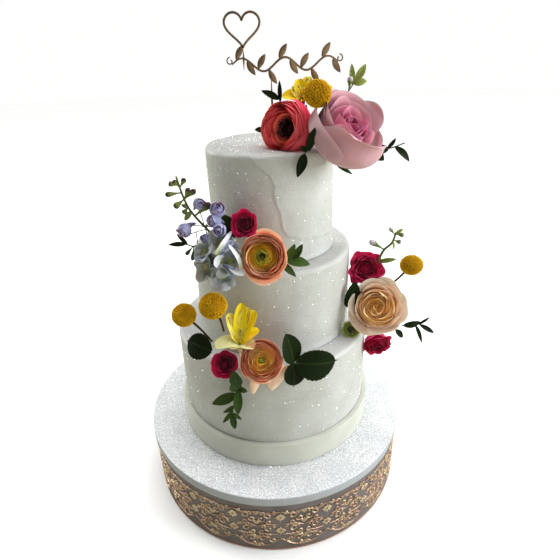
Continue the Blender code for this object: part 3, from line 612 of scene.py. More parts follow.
dusting, sizes = tree_with("glitter_dusting", Per_Square_Metre="Float", Largest="Float", Seed="Int")
fallen = add(dusting, "GeometryNodeDistributePointsOnFaces",
             {"Mesh": sizes["Geometry"], "Density": sizes["Per Square Metre"], "Seed": sizes["Seed"]})
flake = add(dusting, "GeometryNodeMeshCylinder", {"Vertices": 4, "Radius": 0.5, "Depth": 0.2},
            fill_type="NGON")
tilt = add(dusting, "FunctionNodeRandomValue", {0: (-0.9, -0.9, 0.0), 1: (0.9, 0.9, 6.3), "Seed": sizes["Seed"]},
           data_type="FLOAT_VECTOR")
smallest = add(dusting, "ShaderNodeMath", {0: sizes["Largest"], 1: 0.35}, operation="MULTIPLY")
size = add(dusting, "FunctionNodeRandomValue", {2: smallest.outputs[0], 3: sizes["Largest"], "Seed": sizes["Seed"]})
lie = add(dusting, "FunctionNodeRotateRotation", {0: fallen.outputs["Rotation"], 1: tilt.outputs[0]},
          rotation_space="LOCAL")
flakes = add(dusting, "GeometryNodeInstanceOnPoints", {"Points": fallen.outputs["Points"],
                                                       "Instance": flake.outputs["Mesh"],
                                                       "Rotation": lie.outputs[0], "Scale": size.outputs[1]})
close_tree(dusting, flakes.outputs[0], glitter_finish)
ABOVE = 0.0003
MIDDLE_TOP, BOTTOM_TOP, TOP_TOP = (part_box(node)[1].z for node in ("middle_tier", "bottom_tier", "top_tier"))
walls = rings_mesh("glitter_walls", [
    ([(TOP_RADIUS + ABOVE, TOP_TOP - 0.006), (TOP_RADIUS + ABOVE, MIDDLE_TOP)], TOP_CENTRE),
    ([(MIDDLE_RADIUS + ABOVE, MIDDLE_TOP - 0.006), (MIDDLE_RADIUS + ABOVE, BOTTOM_TOP)], MIDDLE_CENTRE),
    ([(BOTTOM_RADIUS + ABOVE, BOTTOM_TOP - 0.006), (BOTTOM_RADIUS + ABOVE, band_high.z)], BOTTOM_CENTRE)])
ledges = rings_mesh("glitter_ledges", [
    ([(0.01, TOP_TOP), (TOP_RADIUS - 0.006, TOP_TOP)], TOP_CENTRE),
    ([(TOP_RADIUS + 0.004, MIDDLE_TOP), (MIDDLE_RADIUS - 0.005, MIDDLE_TOP)], MIDDLE_CENTRE),
    ([(MIDDLE_RADIUS + 0.004, BOTTOM_TOP), (BOTTOM_RADIUS - 0.005, BOTTOM_TOP)], BOTTOM_CENTRE),
    ([(BAND_OUT + 0.002, BOARD_TOP + 0.0002), (BOARD_RADIUS - 0.003, BOARD_TOP + 0.0002)], 0.0)])
foot = rings_mesh("glitter_foot", [
    ([(BAND_OUT + 0.0005, BOARD_TOP + 0.0004), (BAND_OUT + 0.0035, BOARD_TOP + 0.0004)], BOTTOM_CENTRE)])
for name, surface, crowd, largest, seed in (("glitter_on_walls", walls, 60000.0, 0.0009, 5),
                                            ("glitter_on_ledges", ledges, 45000.0, 0.0011, 8),
                                            ("glitter_at_foot", foot, 130000.0, 0.0012, 12)):
    settle(name, run_tree(surface, dusting, Per_Square_Metre=crowd, Largest=largest, Seed=seed),
           glitter_finish, "board" if surface is foot else "icing")


# ======== The topper ========
# One thin plate of bronze mirror card, cut to a heart over a leafy vine and held by one stake pushed into
# the top tier. The strokes are 2.4 mm wide and 2 mm thick.
topper_low, topper_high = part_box("topper")
TOPPER_Y = (topper_low.y + topper_high.y) / 2
CARD_THICK = 0.0020
LINE = 0.0024
HEART_CENTRE, HEART_WIDTH = (-0.0190, 0.6125), 0.0380
VINE_LEFT, VINE_RIGHT, VINE_HEIGHT, VINE_WAVE, VINE_WAVES = -0.0330, 0.0860, 0.5780, 0.0068, 2.5
STAKE_X = 0.0107
card = Grids()


def cut(path, widths=LINE):
    """One stroke of the plate, through (x, z) points."""
    grid = stroke(path, np.broadcast_to(widths, len(path)) * 1.0, CARD_THICK, dome=0.9)
    card.add(np.stack([grid[..., 0], TOPPER_Y + 0.5 * CARD_THICK - grid[..., 2], grid[..., 1]], -1), ring=True)


def vine_at(t):
    """The vine's wavy line, from its left to its right end."""
    t = np.asarray(t)
    return np.stack([VINE_LEFT + (VINE_RIGHT - VINE_LEFT) * t,
                     VINE_HEIGHT + VINE_WAVE * np.sin(math.tau * VINE_WAVES * t)], -1)


turns = np.linspace(0, math.tau, 65)
heart_scale = HEART_WIDTH / 32
heart_up = 13 * np.cos(turns) - 5 * np.cos(2 * turns) - 2 * np.cos(3 * turns) - np.cos(4 * turns)
heart = np.stack([HEART_CENTRE[0] + heart_scale * 16 * np.sin(turns) ** 3,
                  HEART_CENTRE[1] + heart_scale * (heart_up + 2)], -1)
cut(heart[:33])
cut(heart[32:])
cut(vine_at(np.linspace(0, 1, 60)), LINE * (0.55 + 0.45 * np.sin(math.pi * np.linspace(0.12, 0.88, 60))))
cut([(STAKE_X, vine_at((STAKE_X - VINE_LEFT) / (VINE_RIGHT - VINE_LEFT))[1]), (STAKE_X, 0.54), (STAKE_X, TOP_TOP - 0.0002)])
cut([tuple(heart[32]), (heart[32][0], VINE_HEIGHT + 0.006), (heart[32][0] - 0.0004, VINE_HEIGHT - VINE_WAVE)])
for k in range(10):
    t = (k + 0.5) / 10
    x, z = vine_at(t)
    up = 1 if k % 2 == 0 else -1
    rise = np.linspace(0, 0.0155, 9)
    lean = 0.0085 * (rise / 0.0155) ** 1.4
    blade = 0.0062 * np.sin(math.pi * (0.08 + 0.92 * rise / 0.0155) ** 1.2) + 0.0006
    cut(np.stack([x + lean, z + up * rise], -1), blade)
for start, way in ((0.0, -1), (1.0, 1)):
    x, z = vine_at(start)
    curl = scroll((x + way * 0.001, z + 0.0042), 0.0010, 0.0042, 100 if way > 0 else 80, 360 * way, 20)
    cut(curl, 0.0013)
topper_finish, tree, shader = finish("bronze_card", roughness=0.3, metallic=0.75)
tree.links.new(ramp(tree, grain(tree, 60.0), (0.3, (0.10, 0.065, 0.035)), (0.7, (0.23, 0.15, 0.08))),
               shader.inputs["Base Color"])
tree.links.new(sums(tree, "MULTIPLY_ADD", grain(tree, 300.0), 0.3, 0.15), shader.inputs["Roughness"])
settle("topper_card", card.mesh("topper_card", closed=True), topper_finish, "topper", "topper")


# ======== The red ranunculus on the top tier ========
# A fresh flower head about 54 mm across: many thin petals nested in rounds, a deep cup that opens to the
# left and a near-black eye with stubby stamens. Its stem is pushed into the icing.
GOLDEN_TURN = math.radians(137.5)


class Petals(Grids):
    """Thin closed blades, which taper to nothing at their edges, and round stems."""

    def blade(self, sheet, thick, tone):
        """Give a one-sided (rows, columns, 3) sheet a front and a back."""
        normal = np.cross(np.gradient(sheet, axis=0), np.gradient(sheet, axis=1))
        normal /= np.linalg.norm(normal, axis=2, keepdims=True) + 1e-12
        rows, columns = sheet.shape[:2]
        bulk = np.outer(np.sin(np.linspace(0, math.pi, rows)), np.sin(np.linspace(0, math.pi, columns)))
        bulk = 0.5 * thick * np.clip(bulk, 0, 1)[..., None] ** 0.3
        bulk[0] = bulk[-1] = bulk[:, 0] = bulk[:, -1] = 0.0
        back = (sheet - normal * bulk)[:, -2:0:-1]
        self.add(np.concatenate([sheet + normal * bulk, back], axis=1), tone, ring=True)
        across = self.places[-1][:, 0] * (2 * columns - 2) / (columns - 1)
        self.places[-1][:, 0] = 1 - np.abs(1 - across)

    def tube(self, path, radii, tone=0.0, sides=8):
        """A round stem or bud along a path, closed at both ends."""
        path = np.asarray(path, float)
        along = np.gradient(path, axis=0)
        along /= np.linalg.norm(along, axis=1, keepdims=True) + 1e-12
        hint = (0.0, -1.0, 0.2) if abs(along[0][1]) < 0.9 else (1.0, 0.0, 0.2)
        side = np.cross(along, hint)
        side /= np.linalg.norm(side, axis=1, keepdims=True)
        turns = math.tau * np.arange(sides)[:, None] / sides
        spokes = side[:, None] * np.cos(turns) + np.cross(side, along)[:, None] * np.sin(turns)
        grid = path[:, None] + spokes * np.asarray(radii)[:, None, None]
        ends = [np.broadcast_to(path[end], (1, sides, 3)) for end in (0, -1)]
        self.add(np.concatenate([ends[0], grid, ends[1]]), tone, ring=True)


def smooth_step(value):
    value = np.clip(value, 0, 1)
    return value * value * (3 - 2 * value)


def petal(rng, turn, spread, belly, rim, low, high, lip=0.0, wave=0.0, tip=0.14, tuck=0.04, belly_at=0.55,
          rows=10, columns=15):
    """One cupped petal about +Z: it rises from low to high, swells to its belly and ends at its rim."""
    v = np.linspace(0, 1, rows)[:, None]
    u = np.linspace(-1, 1, columns)[None, :]
    up = v * (1 - tip * np.abs(u) ** 2.4 + 0.25 * tip * np.sin(2.2 * u + rng.uniform(0, 6)))
    reach = belly * (0.12 + 0.88 * np.sin(0.5 * math.pi * np.clip(up / belly_at, 0, 1)) ** 0.8)
    reach = reach + (rim - belly) * smooth_step((up - belly_at) / (1 - belly_at))
    reach = reach + tuck * belly * u * np.clip(up * 2, 0, 1)
    roll = np.clip((up - 0.72) / 0.28, 0, 1.2)
    phases = rng.uniform(0, math.tau, 3)
    ripple = wave * up ** 2 * (np.sin(3.3 * u + phases[0]) + 0.6 * np.sin(6.1 * u + phases[1]))
    reach = reach + lip * roll ** 2 + 0.7 * ripple
    height = low + (high - low) * up ** 0.95 - 0.75 * abs(lip) * roll ** 3 + 0.6 * ripple * np.cos(phases[2] + u)
    angle = turn + spread * (0.32 + 0.68 * np.sin(0.5 * math.pi * np.clip(1.6 * up, 0, 1))) * u
    return np.stack([reach * np.cos(angle), reach * np.sin(angle), height + 0 * angle], -1)


def whorls(gather, rng, radius, rounds, turn=0.0, thick=0.0004, **shape):
    """Rounds of petals: count, then belly, rim, low, high, lip and wave as shares of the radius, then tone."""
    for count, belly, rim, low, high, lip, wave, tone in rounds:
        turn += GOLDEN_TURN
        for k in range(count):
            at = turn + math.tau * k / count + rng.uniform(-0.12, 0.12)
            sizes = [radius * belly, radius * rim, radius * low, radius * (high + rng.uniform(-0.03, 0.03))]
            sizes[:2] = [size * (1 + rng.uniform(-0.035, 0.035)) for size in sizes[:2]]
            sheet = petal(rng, at, 1.22 * math.pi / count, *sizes, radius * lip, radius * wave, **shape)
            gather.blade(sheet, thick, min(1.0, max(0.0, tone + rng.uniform(-0.06, 0.06))))


def eye(gather, rng, height, size, tone=0.0, count=34):
    """The seed head in the middle: a dome of small beads."""
    for k in range(count):
        share = math.sqrt((k + 0.5) / count)
        out = np.array([share * math.cos(k * GOLDEN_TURN), share * math.sin(k * GOLDEN_TURN), 0.0])
        foot = size * out + np.array([0.0, 0.0, height + 0.6 * size * (1 - share ** 2)])
        lean = (0.35 * out + np.array([0.0, 0.0, 1.0])) * size * rng.uniform(0.30, 0.55)
        gather.tube([foot, foot + 0.5 * lean, foot + lean], [size * 0.09, size * 0.12, size * 0.07], tone, sides=6)


def plug(gather, radius, rim, top, tone):
    """The solid middle of a flower: a dome under its innermost petals."""
    rise = np.linspace(0, 0.5 * math.pi, 7)
    heights = np.concatenate([[rim - radius], rim + (top - rim) * np.sin(rise)])
    gather.tube(np.outer(heights, (0.0, 0.0, 1.0)), radius * np.concatenate([[0.4], np.cos(rise) + 0.01]), tone, 16)


def aimed(facing, spin=0.0):
    """The turn that brings +Z to face an angle about the cake and an elevation, in degrees."""
    return (Matrix.Rotation(math.radians(facing[0]), 4, "Z")
            @ Matrix.Rotation(math.radians(90 - facing[1]), 4, "Y") @ Matrix.Rotation(math.radians(spin), 4, "Z"))


def set_head(node, gather, material, slot, at, facing, spin=0.0, sharp=60):
    """Finish a flower head and turn it into place."""
    mesh = gather.mesh(node + "_bloom", closed=True)
    mesh.transform(Matrix.Translation(at) @ aimed(facing, spin))
    settle(node + "_bloom", mesh, material, slot, node, sharp=sharp)


def petal_marks():
    """A shared group: masks of a petal's rim and foot, and values for its veins and soft mottling."""
    group = bpy.data.node_groups.new("petal_marks", "ShaderNodeTree")
    for label, value in (("Vein Scale", 34.0), ("Mottle Scale", 90.0), ("Rim From", 0.80)):
        socket = group.interface.new_socket(label, in_out="INPUT", socket_type="NodeSocketFloat")
        socket.default_value = value
    for label in ("Rim", "Foot", "Middle", "Along", "Vein", "Mottle"):
        group.interface.new_socket(label, in_out="OUTPUT", socket_type="NodeSocketFloat")
    sizes = group.nodes.new("NodeGroupInput").outputs
    place = add(group, "ShaderNodeSeparateXYZ", {0: add(group, "ShaderNodeUVMap", uv_map="place").outputs[0]})
    across, along = place.outputs["X"], place.outputs["Y"]
    side = sums(group, "MULTIPLY", sums(group, "ABSOLUTE", sums(group, "SUBTRACT", across, 0.5)), 2.0)
    edge = sums(group, "MAXIMUM", along, sums(group, "MULTIPLY", side, 0.97))
    rim = add(group, "ShaderNodeMapRange", {"Value": edge, "From Min": sizes["Rim From"], "From Max": 1.0})
    upper = add(group, "ShaderNodeMapRange", {"Value": along, "From Min": 0.35, "From Max": 0.60})
    rim = sums(group, "MULTIPLY", rim.outputs[0], upper.outputs[0])
    foot = add(group, "ShaderNodeMapRange", {"Value": along, "From Min": 0.55, "From Max": 0.10})
    middle = add(group, "ShaderNodeMapRange", {"Value": side, "From Min": 0.12, "From Max": 0.03})
    fan = add(group, "ShaderNodeCombineXYZ", {"X": sums(group, "MULTIPLY", across, sizes["Vein Scale"]),
                                              "Y": sums(group, "MULTIPLY", along, 2.2)})
    vein = add(group, "ShaderNodeTexNoise", {"Vector": fan.outputs[0], "Scale": 1.0, "Detail": 2.0})
    mottle = grain(group, sizes["Mottle Scale"], 3.0)
    add(group, "NodeGroupOutput", {"Rim": rim, "Foot": foot.outputs[0], "Middle": middle.outputs[0],
                                   "Along": along, "Vein": vein.outputs[0], "Mottle": mottle})
    return group


PETAL_MARKS = petal_marks()


def petal_finish(name, stops, rim, rim_tint_and_painted_highlight_share, foot, foot_tint_and_painted_shade_share, roughness=0.5, veins=0.22, depth=0.00025,
                 sheen=0.0, soft=0.2):
    """Petals coloured by their round, then at the rim with a paler edge and a painted highlight, and at the foot with a
    base tint and painted shade, with veins that catch the light.
    """
    material, tree, shader = finish(name, roughness=roughness, specular_ior_level=0.12, subsurface_weight=soft,
                                    subsurface_scale=0.005, sheen_weight=sheen)
    marks = add(tree, "ShaderNodeGroup", node_tree=PETAL_MARKS).outputs
    tone = add(tree, "ShaderNodeAttribute", attribute_name="tone").outputs["Fac"]
    drift = sums(tree, "ADD", tone, sums(tree, "MULTIPLY_ADD", marks["Mottle"], 0.16, -0.08))
    colour = ramp(tree, drift, *stops)
    # the foot takes its base tint with a painted shade in the grooves between rounds, scaled down on the inner petals
    # by their tone
    foot_tint_and_painted_shade = sums(tree, "MULTIPLY", sums(tree, "MULTIPLY", marks["Foot"], foot_tint_and_painted_shade_share), tone)
    colour = blend(tree, foot_tint_and_painted_shade, colour, foot)
    # the rim takes a paler edge colour with a painted highlight, scaled down on the inner petals by their tone
    outer = sums(tree, "MINIMUM", sums(tree, "ADD", tone, 0.25), 1.0)
    rim_tint_and_painted_highlight = sums(tree, "MULTIPLY", sums(tree, "MULTIPLY", marks["Rim"], rim_tint_and_painted_highlight_share), outer)
    colour = blend(tree, rim_tint_and_painted_highlight, colour, rim)
    dark = sums(tree, "MULTIPLY_ADD", marks["Vein"], -2 * veins, 1 + veins)
    shade = add(tree, "ShaderNodeCombineColor", {0: dark, 1: dark, 2: dark}).outputs[0]
    tree.links.new(blend(tree, 1.0, colour, shade, "MULTIPLY"), shader.inputs["Base Color"])
    relief(tree, shader, marks["Vein"], depth)
    return material


# each petal_finish call gives, after its stops, the rim colour (a paler edge with a painted highlight) and its share,
# then the foot colour (a base tint with painted shade) and its share
coral_red = petal_finish("coral_red_petals", [(0.06, (0.012, 0.006, 0.010)), (0.16, (0.20, 0.01, 0.02)),
                                              (0.36, (1.0, 0.20, 0.11)), (0.60, (0.92, 0.05, 0.08)),
                                              (0.95, (0.88, 0.04, 0.11))],
                         (1.0, 0.36, 0.34), 0.4, (0.42, 0.0, 0.02), 0.6, soft=0.1)
RED_RADIUS = 0.0298
rng = np.random.default_rng(21)
red = Petals()
for k in range(10):
    f = k / 9
    rim_round = (5, 1.00 - 0.40 * f, 0.94 - 0.38 * f, -0.80 + 0.2 * f, 0.14 + 0.22 * math.sin(2.6 * f), 0, 0.018,
                 1.0 - 0.5 * f)
    whorls(red, rng, RED_RADIUS, [rim_round], 1.1 * k)
for turn, spread, reach, high in ((180, 62, 0.97, 0.10), (140, 52, 0.93, 0.06), (-140, 55, 0.94, 0.04)):
    sheet = petal(rng, math.radians(turn), math.radians(spread), *(RED_RADIUS * share for share in (
        0.60, reach, -0.30, high)), 0, 0.02 * RED_RADIUS, belly_at=0.4)
    red.blade(sheet, 0.0004, 0.40)
whorls(red, rng, RED_RADIUS, [(4, 0.46, 0.52, -0.50, 0.02, 0, 0.02, 0.38), (5, 0.36, 0.44, -0.45, -0.08, 0, 0.03, 0.30),
                              (7, 0.26, 0.34, -0.45, -0.02, 0.03, 0.07, 0.05), (6, 0.16, 0.22, -0.45, 0.02, 0, 0.05, 0.02)])
plug(red, 0.24 * RED_RADIUS, -0.0100, -0.0065, 0.0)
eye(red, rng, -0.0065, 0.0062)
set_head("top_red_ranunculus", red, coral_red, "red_petals", (0.0230, -0.0440, 0.5152), (-127, 12), -80)


# ======== The pink garden rose on the top tier ========
# The largest flower, 75 mm across: broad silky outer petals with rolled rims wrap a tight heart of
# small deep-pink petals. It leans out over the right-hand edge of the tier.
silk_pink = petal_finish("silk_pink_petals", [(0.04, (0.24, 0.01, 0.08)), (0.20, (0.62, 0.10, 0.30)),
                                              (0.42, (0.74, 0.28, 0.40)), (0.75, (0.62, 0.32, 0.385)),
                                              (0.98, (0.54, 0.31, 0.355))],
                         (0.78, 0.51, 0.57), 0.40, (0.52, 0.34, 0.32), 0.45, 0.42, veins=0.06, depth=0.0001, sheen=0.1, soft=0.12)
PINK_RADIUS = 0.0398
PINK_PETALS = [  # degrees round the heart, half spread, belly, rim, low, high, lip, wave, point, tone
    (40, 60, 0.98, 0.92, -1.10, 0.36, 0.05, 0.015, 0.25, 1.00), (100, 50, 0.84, 0.98, -0.85, 0.46, 0.08, 0.02, 0.7, 0.90),
    (150, 55, 0.84, 0.90, -0.85, 0.56, 0.08, 0.02, 0.2, 0.80), (200, 56, 0.88, 0.92, -0.85, 0.50, 0.07, 0.02, 0.3, 0.90),
    (-108, 58, 1.08, 1.06, -0.85, 0.26, 0.05, 0.02, 0.3, 0.95), (-35, 78, 1.10, 0.88, -1.00, 0.70, 0.16, 0.01, 0.42, 0.95),
    (115, 50, 0.70, 0.74, -0.70, 0.40, 0.04, 0.02, 0.2, 0.66), (190, 52, 0.72, 0.72, -0.70, 0.50, 0.05, 0.02, 0.4, 0.72),
    (-132, 60, 0.88, 0.90, -0.70, 0.50, 0.05, 0.02, 0.5, 0.84), (45, 46, 0.66, 0.66, -0.65, 0.24, 0.04, 0.03, 0.2, 0.56),
    (-70, 44, 0.60, 0.52, -0.65, 0.36, 0.03, 0.03, 0.3, 0.52), (150, 48, 0.58, 0.58, -0.6, 0.36, 0.03, 0.03, 0.2, 0.50)]
rng = np.random.default_rng(7)
pink = Petals()
for turn, spread, belly, rim, low, high, lip, wave, point, tone in PINK_PETALS:
    sizes = [PINK_RADIUS * share for share in (belly, rim, low, high, lip, wave)]
    sheet = petal(rng, math.radians(turn), math.radians(spread), *sizes, tip=point, rows=18, columns=25)
    pink.blade(sheet, 0.0006, tone)
whorls(pink, rng, PINK_RADIUS, [(3, 0.44 - 0.08 * k, 0.42 - 0.08 * k, -0.5, 0.34 + 0.01 * k, 0.02, 0.07, 0.36 - 0.07 * k)
                                for k in range(5)], 0.4, 0.0005, tip=0.2)
plug(pink, 0.40 * PINK_RADIUS, 0.02 * PINK_RADIUS, 0.14 * PINK_RADIUS, 0.0)
set_head("top_pink_rose", pink, silk_pink, "pink_petals", (0.0893, -0.0640, 0.5136), (-46, 47))


# ======== The two orange ranunculus ========
# Fresh flower heads on the middle and bottom tiers, 50 and 47 mm across. The upper one has broad outer
# petals round a yellow bowl; the lower one has many fine rims. Both have a green eye with a dark middle.
ranunculus_orange = petal_finish("orange_petals", [(0.00, (0.01, 0.012, 0.004)), (0.05, (0.16, 0.22, 0.01)),
                                                   (0.12, (0.56, 0.60, 0.01)), (0.23, (1.0, 0.66, 0.00)), (0.45, (1.0, 0.46, 0.04)),
                                                   (0.66, (1.0, 0.24, 0.09)), (0.95, (1.0, 0.46, 0.29))],
                                 (1.0, 0.76, 0.58), 0.8, (0.95, 0.22, 0.04), 0.25, 0.46, soft=0.12)
MID_RADIUS = 0.0250
rng = np.random.default_rng(4)
peach = Petals()
whorls(peach, rng, MID_RADIUS, [(4, 0.94, 0.96, -0.8, 0.06, 0.03, 0.03, 1.0), (4, 0.88, 0.86, -0.8, 0.16, 0.02, 0.03, 0.92),
                                (4, 0.83, 0.82, -0.8, 0.22, 0.03, 0.04, 0.80), (4, 0.80, 0.78, -0.8, 0.26, 0.03, 0.04, 0.72),
                                (5, 0.76, 0.74, -0.7, 0.29, 0.03, 0.04, 0.66), (5, 0.72, 0.69, -0.7, 0.29, 0.02, 0.03, 0.60),
                                (4, 0.67, 0.65, -0.6, 0.25, 0.02, 0.02, 0.45), (4, 0.60, 0.60, -0.5, 0.15, 0, 0.02, 0.35),
                                (4, 0.54, 0.54, -0.4, 0.08, 0, 0.02, 0.31), (4, 0.47, 0.46, -0.3, 0.05, 0, 0.02, 0.28),
                                (5, 0.40, 0.37, -0.3, 0.07, 0, 0.02, 0.23), (5, 0.33, 0.29, -0.3, 0.10, 0, 0.02, 0.17),
                                (5, 0.26, 0.21, -0.3, 0.12, 0, 0.02, 0.12), (5, 0.19, 0.14, -0.3, 0.12, 0, 0.02, 0.09)], 0.3)
for turn, spread, reach, high, lip in ((6, 42, 1.14, -0.12, 0.10), (-38, 40, 1.02, -0.05, 0.04), (62, 44, 1.02, 0.0, 0.04),
                                       (118, 46, 1.02, 0.08, 0.05), (158, 44, 1.10, 0.0, 0.08), (-150, 46, 0.98, 0.05, 0.02)):
    sheet = petal(rng, math.radians(turn), math.radians(spread), *(MID_RADIUS * share for share in (
        0.96, reach, -0.75, high, lip, 0.035)), rows=14, columns=19)
    peach.blade(sheet, 0.0005, 1.0)
plug(peach, 0.13 * MID_RADIUS, -0.0010, 0.0012, 0.02)
eye(peach, rng, 0.0010, 0.0022, 0.0, 18)
set_head("mid_peach_ranunculus", peach, ranunculus_orange, "orange_petals", (-0.0072, -0.1200, 0.3957), (-94, 24))

LOW_RADIUS = 0.0243
rng = np.random.default_rng(5)
orange = Petals()
for k in range(12):
    f = k / 11
    rim_round = (5 if f < 0.7 else 4, 1.0 - 0.72 * f, 0.96 - 0.70 * f, -0.8 + 0.4 * f, 0.18 + 0.14 * math.sin(2.8 * f),
                 0.02, 0.025, 0.95 - 0.64 * min(1.0, f / 0.75) ** 0.8)
    whorls(orange, rng, LOW_RADIUS, [rim_round], 1.7 * k)
whorls(orange, rng, LOW_RADIUS, [(5, 0.24, 0.18, -0.5, 0.26, 0, 0.03, 0.25), (4, 0.15, 0.10, -0.5, 0.25, 0, 0.03, 0.13)])
plug(orange, 0.14 * LOW_RADIUS, 0.0030, 0.0048, 0.04)
eye(orange, rng, 0.0050, 0.0024, 0.09, 14)
set_head("low_orange_ranunculus", orange, ranunculus_orange, "orange_petals", (-0.0141, -0.1490, 0.2812), (-80, 42), 50)


# ======== The small crimson and magenta roses ========
# Four spray roses with ruffled petals: one on the middle tier, one on the bottom tier and a pair above
# and below the peach rose on the right.
velvet = petal_finish("magenta_petals", [(0.02, (0.10, 0.0, 0.012)), (0.25, (0.26, 0.002, 0.035)),
                                         (0.55, (0.50, 0.003, 0.06)), (0.80, (0.64, 0.012, 0.12)),
                                         (1.00, (0.76, 0.030, 0.18))],
                      (0.68, 0.03, 0.15), 0.25, (0.14, 0.0, 0.02), 0.6, 0.5, veins=0.18, sheen=0.08, soft=0.1)
SPRAY_ROSES = [  # node, place, facing, radius, ruffle, shift of tone, seed
    ("mid_crimson_rose", (-0.0255, -0.1020, 0.4268), (-98, 24), 0.0135, 0.09, -0.28, 31),
    ("low_magenta_rose", (-0.0560, -0.1420, 0.2735), (-100, 34), 0.0145, 0.05, -0.22, 32),
    ("right_upper_magenta_rose", (0.1235, -0.0380, 0.3370), (-98, 25), 0.0205, 0.14, 0.04, 33),
    ("right_lower_magenta_rose", (0.1430, -0.0480, 0.2255), (-84, -20), 0.0185, 0.13, -0.16, 34)]
for node, at, facing, radius, ruffle, shift, seed in SPRAY_ROSES:
    rng = np.random.default_rng(seed)
    rose = Petals()
    rounds = [(5, 0.84, 1.04, -0.9, 0.12, 0.12), (5, 0.80, 0.92, -0.85, 0.30, 0.10), (4, 0.64, 0.72, -0.8, 0.42, 0.06),
              (4, 0.50, 0.54, -0.7, 0.44, 0.04), (3, 0.38, 0.38, -0.6, 0.42, 0.02), (3, 0.26, 0.25, -0.5, 0.38, 0.01),
              (3, 0.15, 0.13, -0.4, 0.34, 0.0)]
    for k, (count, belly, rim, low, high, lip) in enumerate(rounds):
        tone = 0.98 + shift - 0.15 * k
        whorls(rose, rng, radius, [(count, belly, rim, low, high, lip, ruffle * (1 - 0.1 * k), tone)], 0.9 * k + seed,
               tip=0.22, columns=17)
    plug(rose, 0.42 * radius, 0.05 * radius, 0.26 * radius, 0.3 + shift)
    set_head(node, rose, velvet, "magenta_petals", at, facing)


# ======== The peach garden rose on the right ========
# A full-blown rose 67 mm across: wavy cream outer petals with greenish rims, peach petals layered in
# below and a golden heart rolled into a tight swirl.
rose_cream = petal_finish("cream_rose_petals", [(0.02, (0.68, 0.28, 0.04)), (0.16, (0.94, 0.56, 0.17)),
                                                (0.34, (0.94, 0.61, 0.29)), (0.58, (0.92, 0.61, 0.43)),
                                                (0.95, (0.80, 0.64, 0.53))],
                          (0.96, 0.84, 0.64), 0.35, (0.96, 0.56, 0.32), 0.15, 0.55, veins=0.07, depth=0.0001, soft=0.15)
PEACH_RADIUS = 0.0328
PEACH_PETALS = [  # degrees round the heart, half spread, belly, rim, low, high, lip, wave, point, tone
    (-48, 50, 0.88, 1.14, -0.85, -0.10, 0.08, 0.03, 0.25, 0.90), (25, 46, 0.86, 1.04, -0.85, 0.10, 0.10, 0.04, 0.2, 0.97),
    (82, 46, 0.84, 1.06, -0.85, 0.18, 0.12, 0.05, 0.2, 1.00), (140, 46, 0.84, 1.06, -0.85, 0.20, 0.12, 0.05, 0.2, 1.00),
    (200, 46, 0.84, 1.02, -0.85, 0.24, 0.10, 0.05, 0.2, 1.00), (-108, 46, 0.84, 0.98, -0.85, 0.22, 0.10, 0.05, 0.2, 0.95),
    (55, 52, 0.76, 0.88, -0.8, 0.24, 0.06, 0.04, 0.2, 0.80), (115, 50, 0.74, 0.86, -0.8, 0.28, 0.06, 0.04, 0.2, 0.85),
    (-80, 52, 0.74, 0.80, -0.8, 0.30, 0.05, 0.04, 0.2, 0.78), (175, 52, 0.72, 0.82, -0.8, 0.30, 0.06, 0.04, 0.2, 0.85),
    (5, 54, 0.72, 0.74, -0.8, 0.22, 0.04, 0.03, 0.2, 0.62), (-40, 50, 0.68, 0.68, -0.75, 0.26, 0.04, 0.03, 0.2, 0.56),
    (45, 50, 0.62, 0.62, -0.7, 0.26, 0.03, 0.03, 0.2, 0.50), (100, 50, 0.60, 0.62, -0.7, 0.32, 0.03, 0.03, 0.2, 0.50),
    (-118, 52, 0.68, 0.72, -0.7, 0.30, 0.05, 0.04, 0.2, 0.66), (165, 50, 0.62, 0.68, -0.7, 0.34, 0.05, 0.04, 0.2, 0.60),
    (-75, 50, 0.60, 0.62, -0.7, 0.30, 0.04, 0.03, 0.2, 0.50), (-155, 50, 0.60, 0.62, -0.7, 0.36, 0.04, 0.03, 0.2, 0.50)]
rng = np.random.default_rng(9)
cream = Petals()
for turn, spread, belly, rim, low, high, lip, wave, point, tone in PEACH_PETALS:
    sizes = [PEACH_RADIUS * share for share in (belly, rim, low, high, lip, wave)]
    sheet = petal(rng, math.radians(turn), math.radians(spread), *sizes, tip=point, rows=16, columns=23)
    cream.blade(sheet, 0.0006, tone)
for k in range(9):
    f = k / 8
    whorls(cream, rng, PEACH_RADIUS, [(3 - (k > 4), 0.60 - 0.51 * f, 0.54 - 0.47 * f, -0.3, 0.36 + 0.03 * f, 0.03, 0.09 - 0.05 * f,
                                       0.46 - 0.38 * f)], 1.3 * k, 0.0005, tip=0.22, tuck=0.16, columns=19)
plug(cream, 0.72 * PEACH_RADIUS, -0.02 * PEACH_RADIUS, 0.20 * PEACH_RADIUS, 0.16)
set_head("right_peach_rose", cream, rose_cream, "cream_petals", (0.1345, -0.0650, 0.2950), (-100, 28))


# ======== The two yellow alstroemerias ========
# Lily-like flowers of six loose petals. The narrow inner ones have brown flecks, the outer ones pale
# tips with a touch of green. One stands behind the red ranunculus and one on the bottom tier.
TOWARDS_FRONT = np.array([0.15, -0.88, 0.45])


def strip(path, half, face, fold=0.2, columns=7):
    """A narrow petal or a leaf: a one-sided sheet with half-widths along a path, folded up from its middle."""
    path = np.asarray(path, float)
    along = np.gradient(path, axis=0)
    along /= np.linalg.norm(along, axis=1, keepdims=True)
    side = np.cross(along, face)
    side /= np.linalg.norm(side, axis=1, keepdims=True)
    t = np.linspace(-1, 1, columns)[None, :, None]
    rise = np.cross(side, along)[:, None] * fold * np.abs(t) ** 1.5
    return path[:, None] + (side[:, None] * t + rise) * np.asarray(half)[:, None, None]


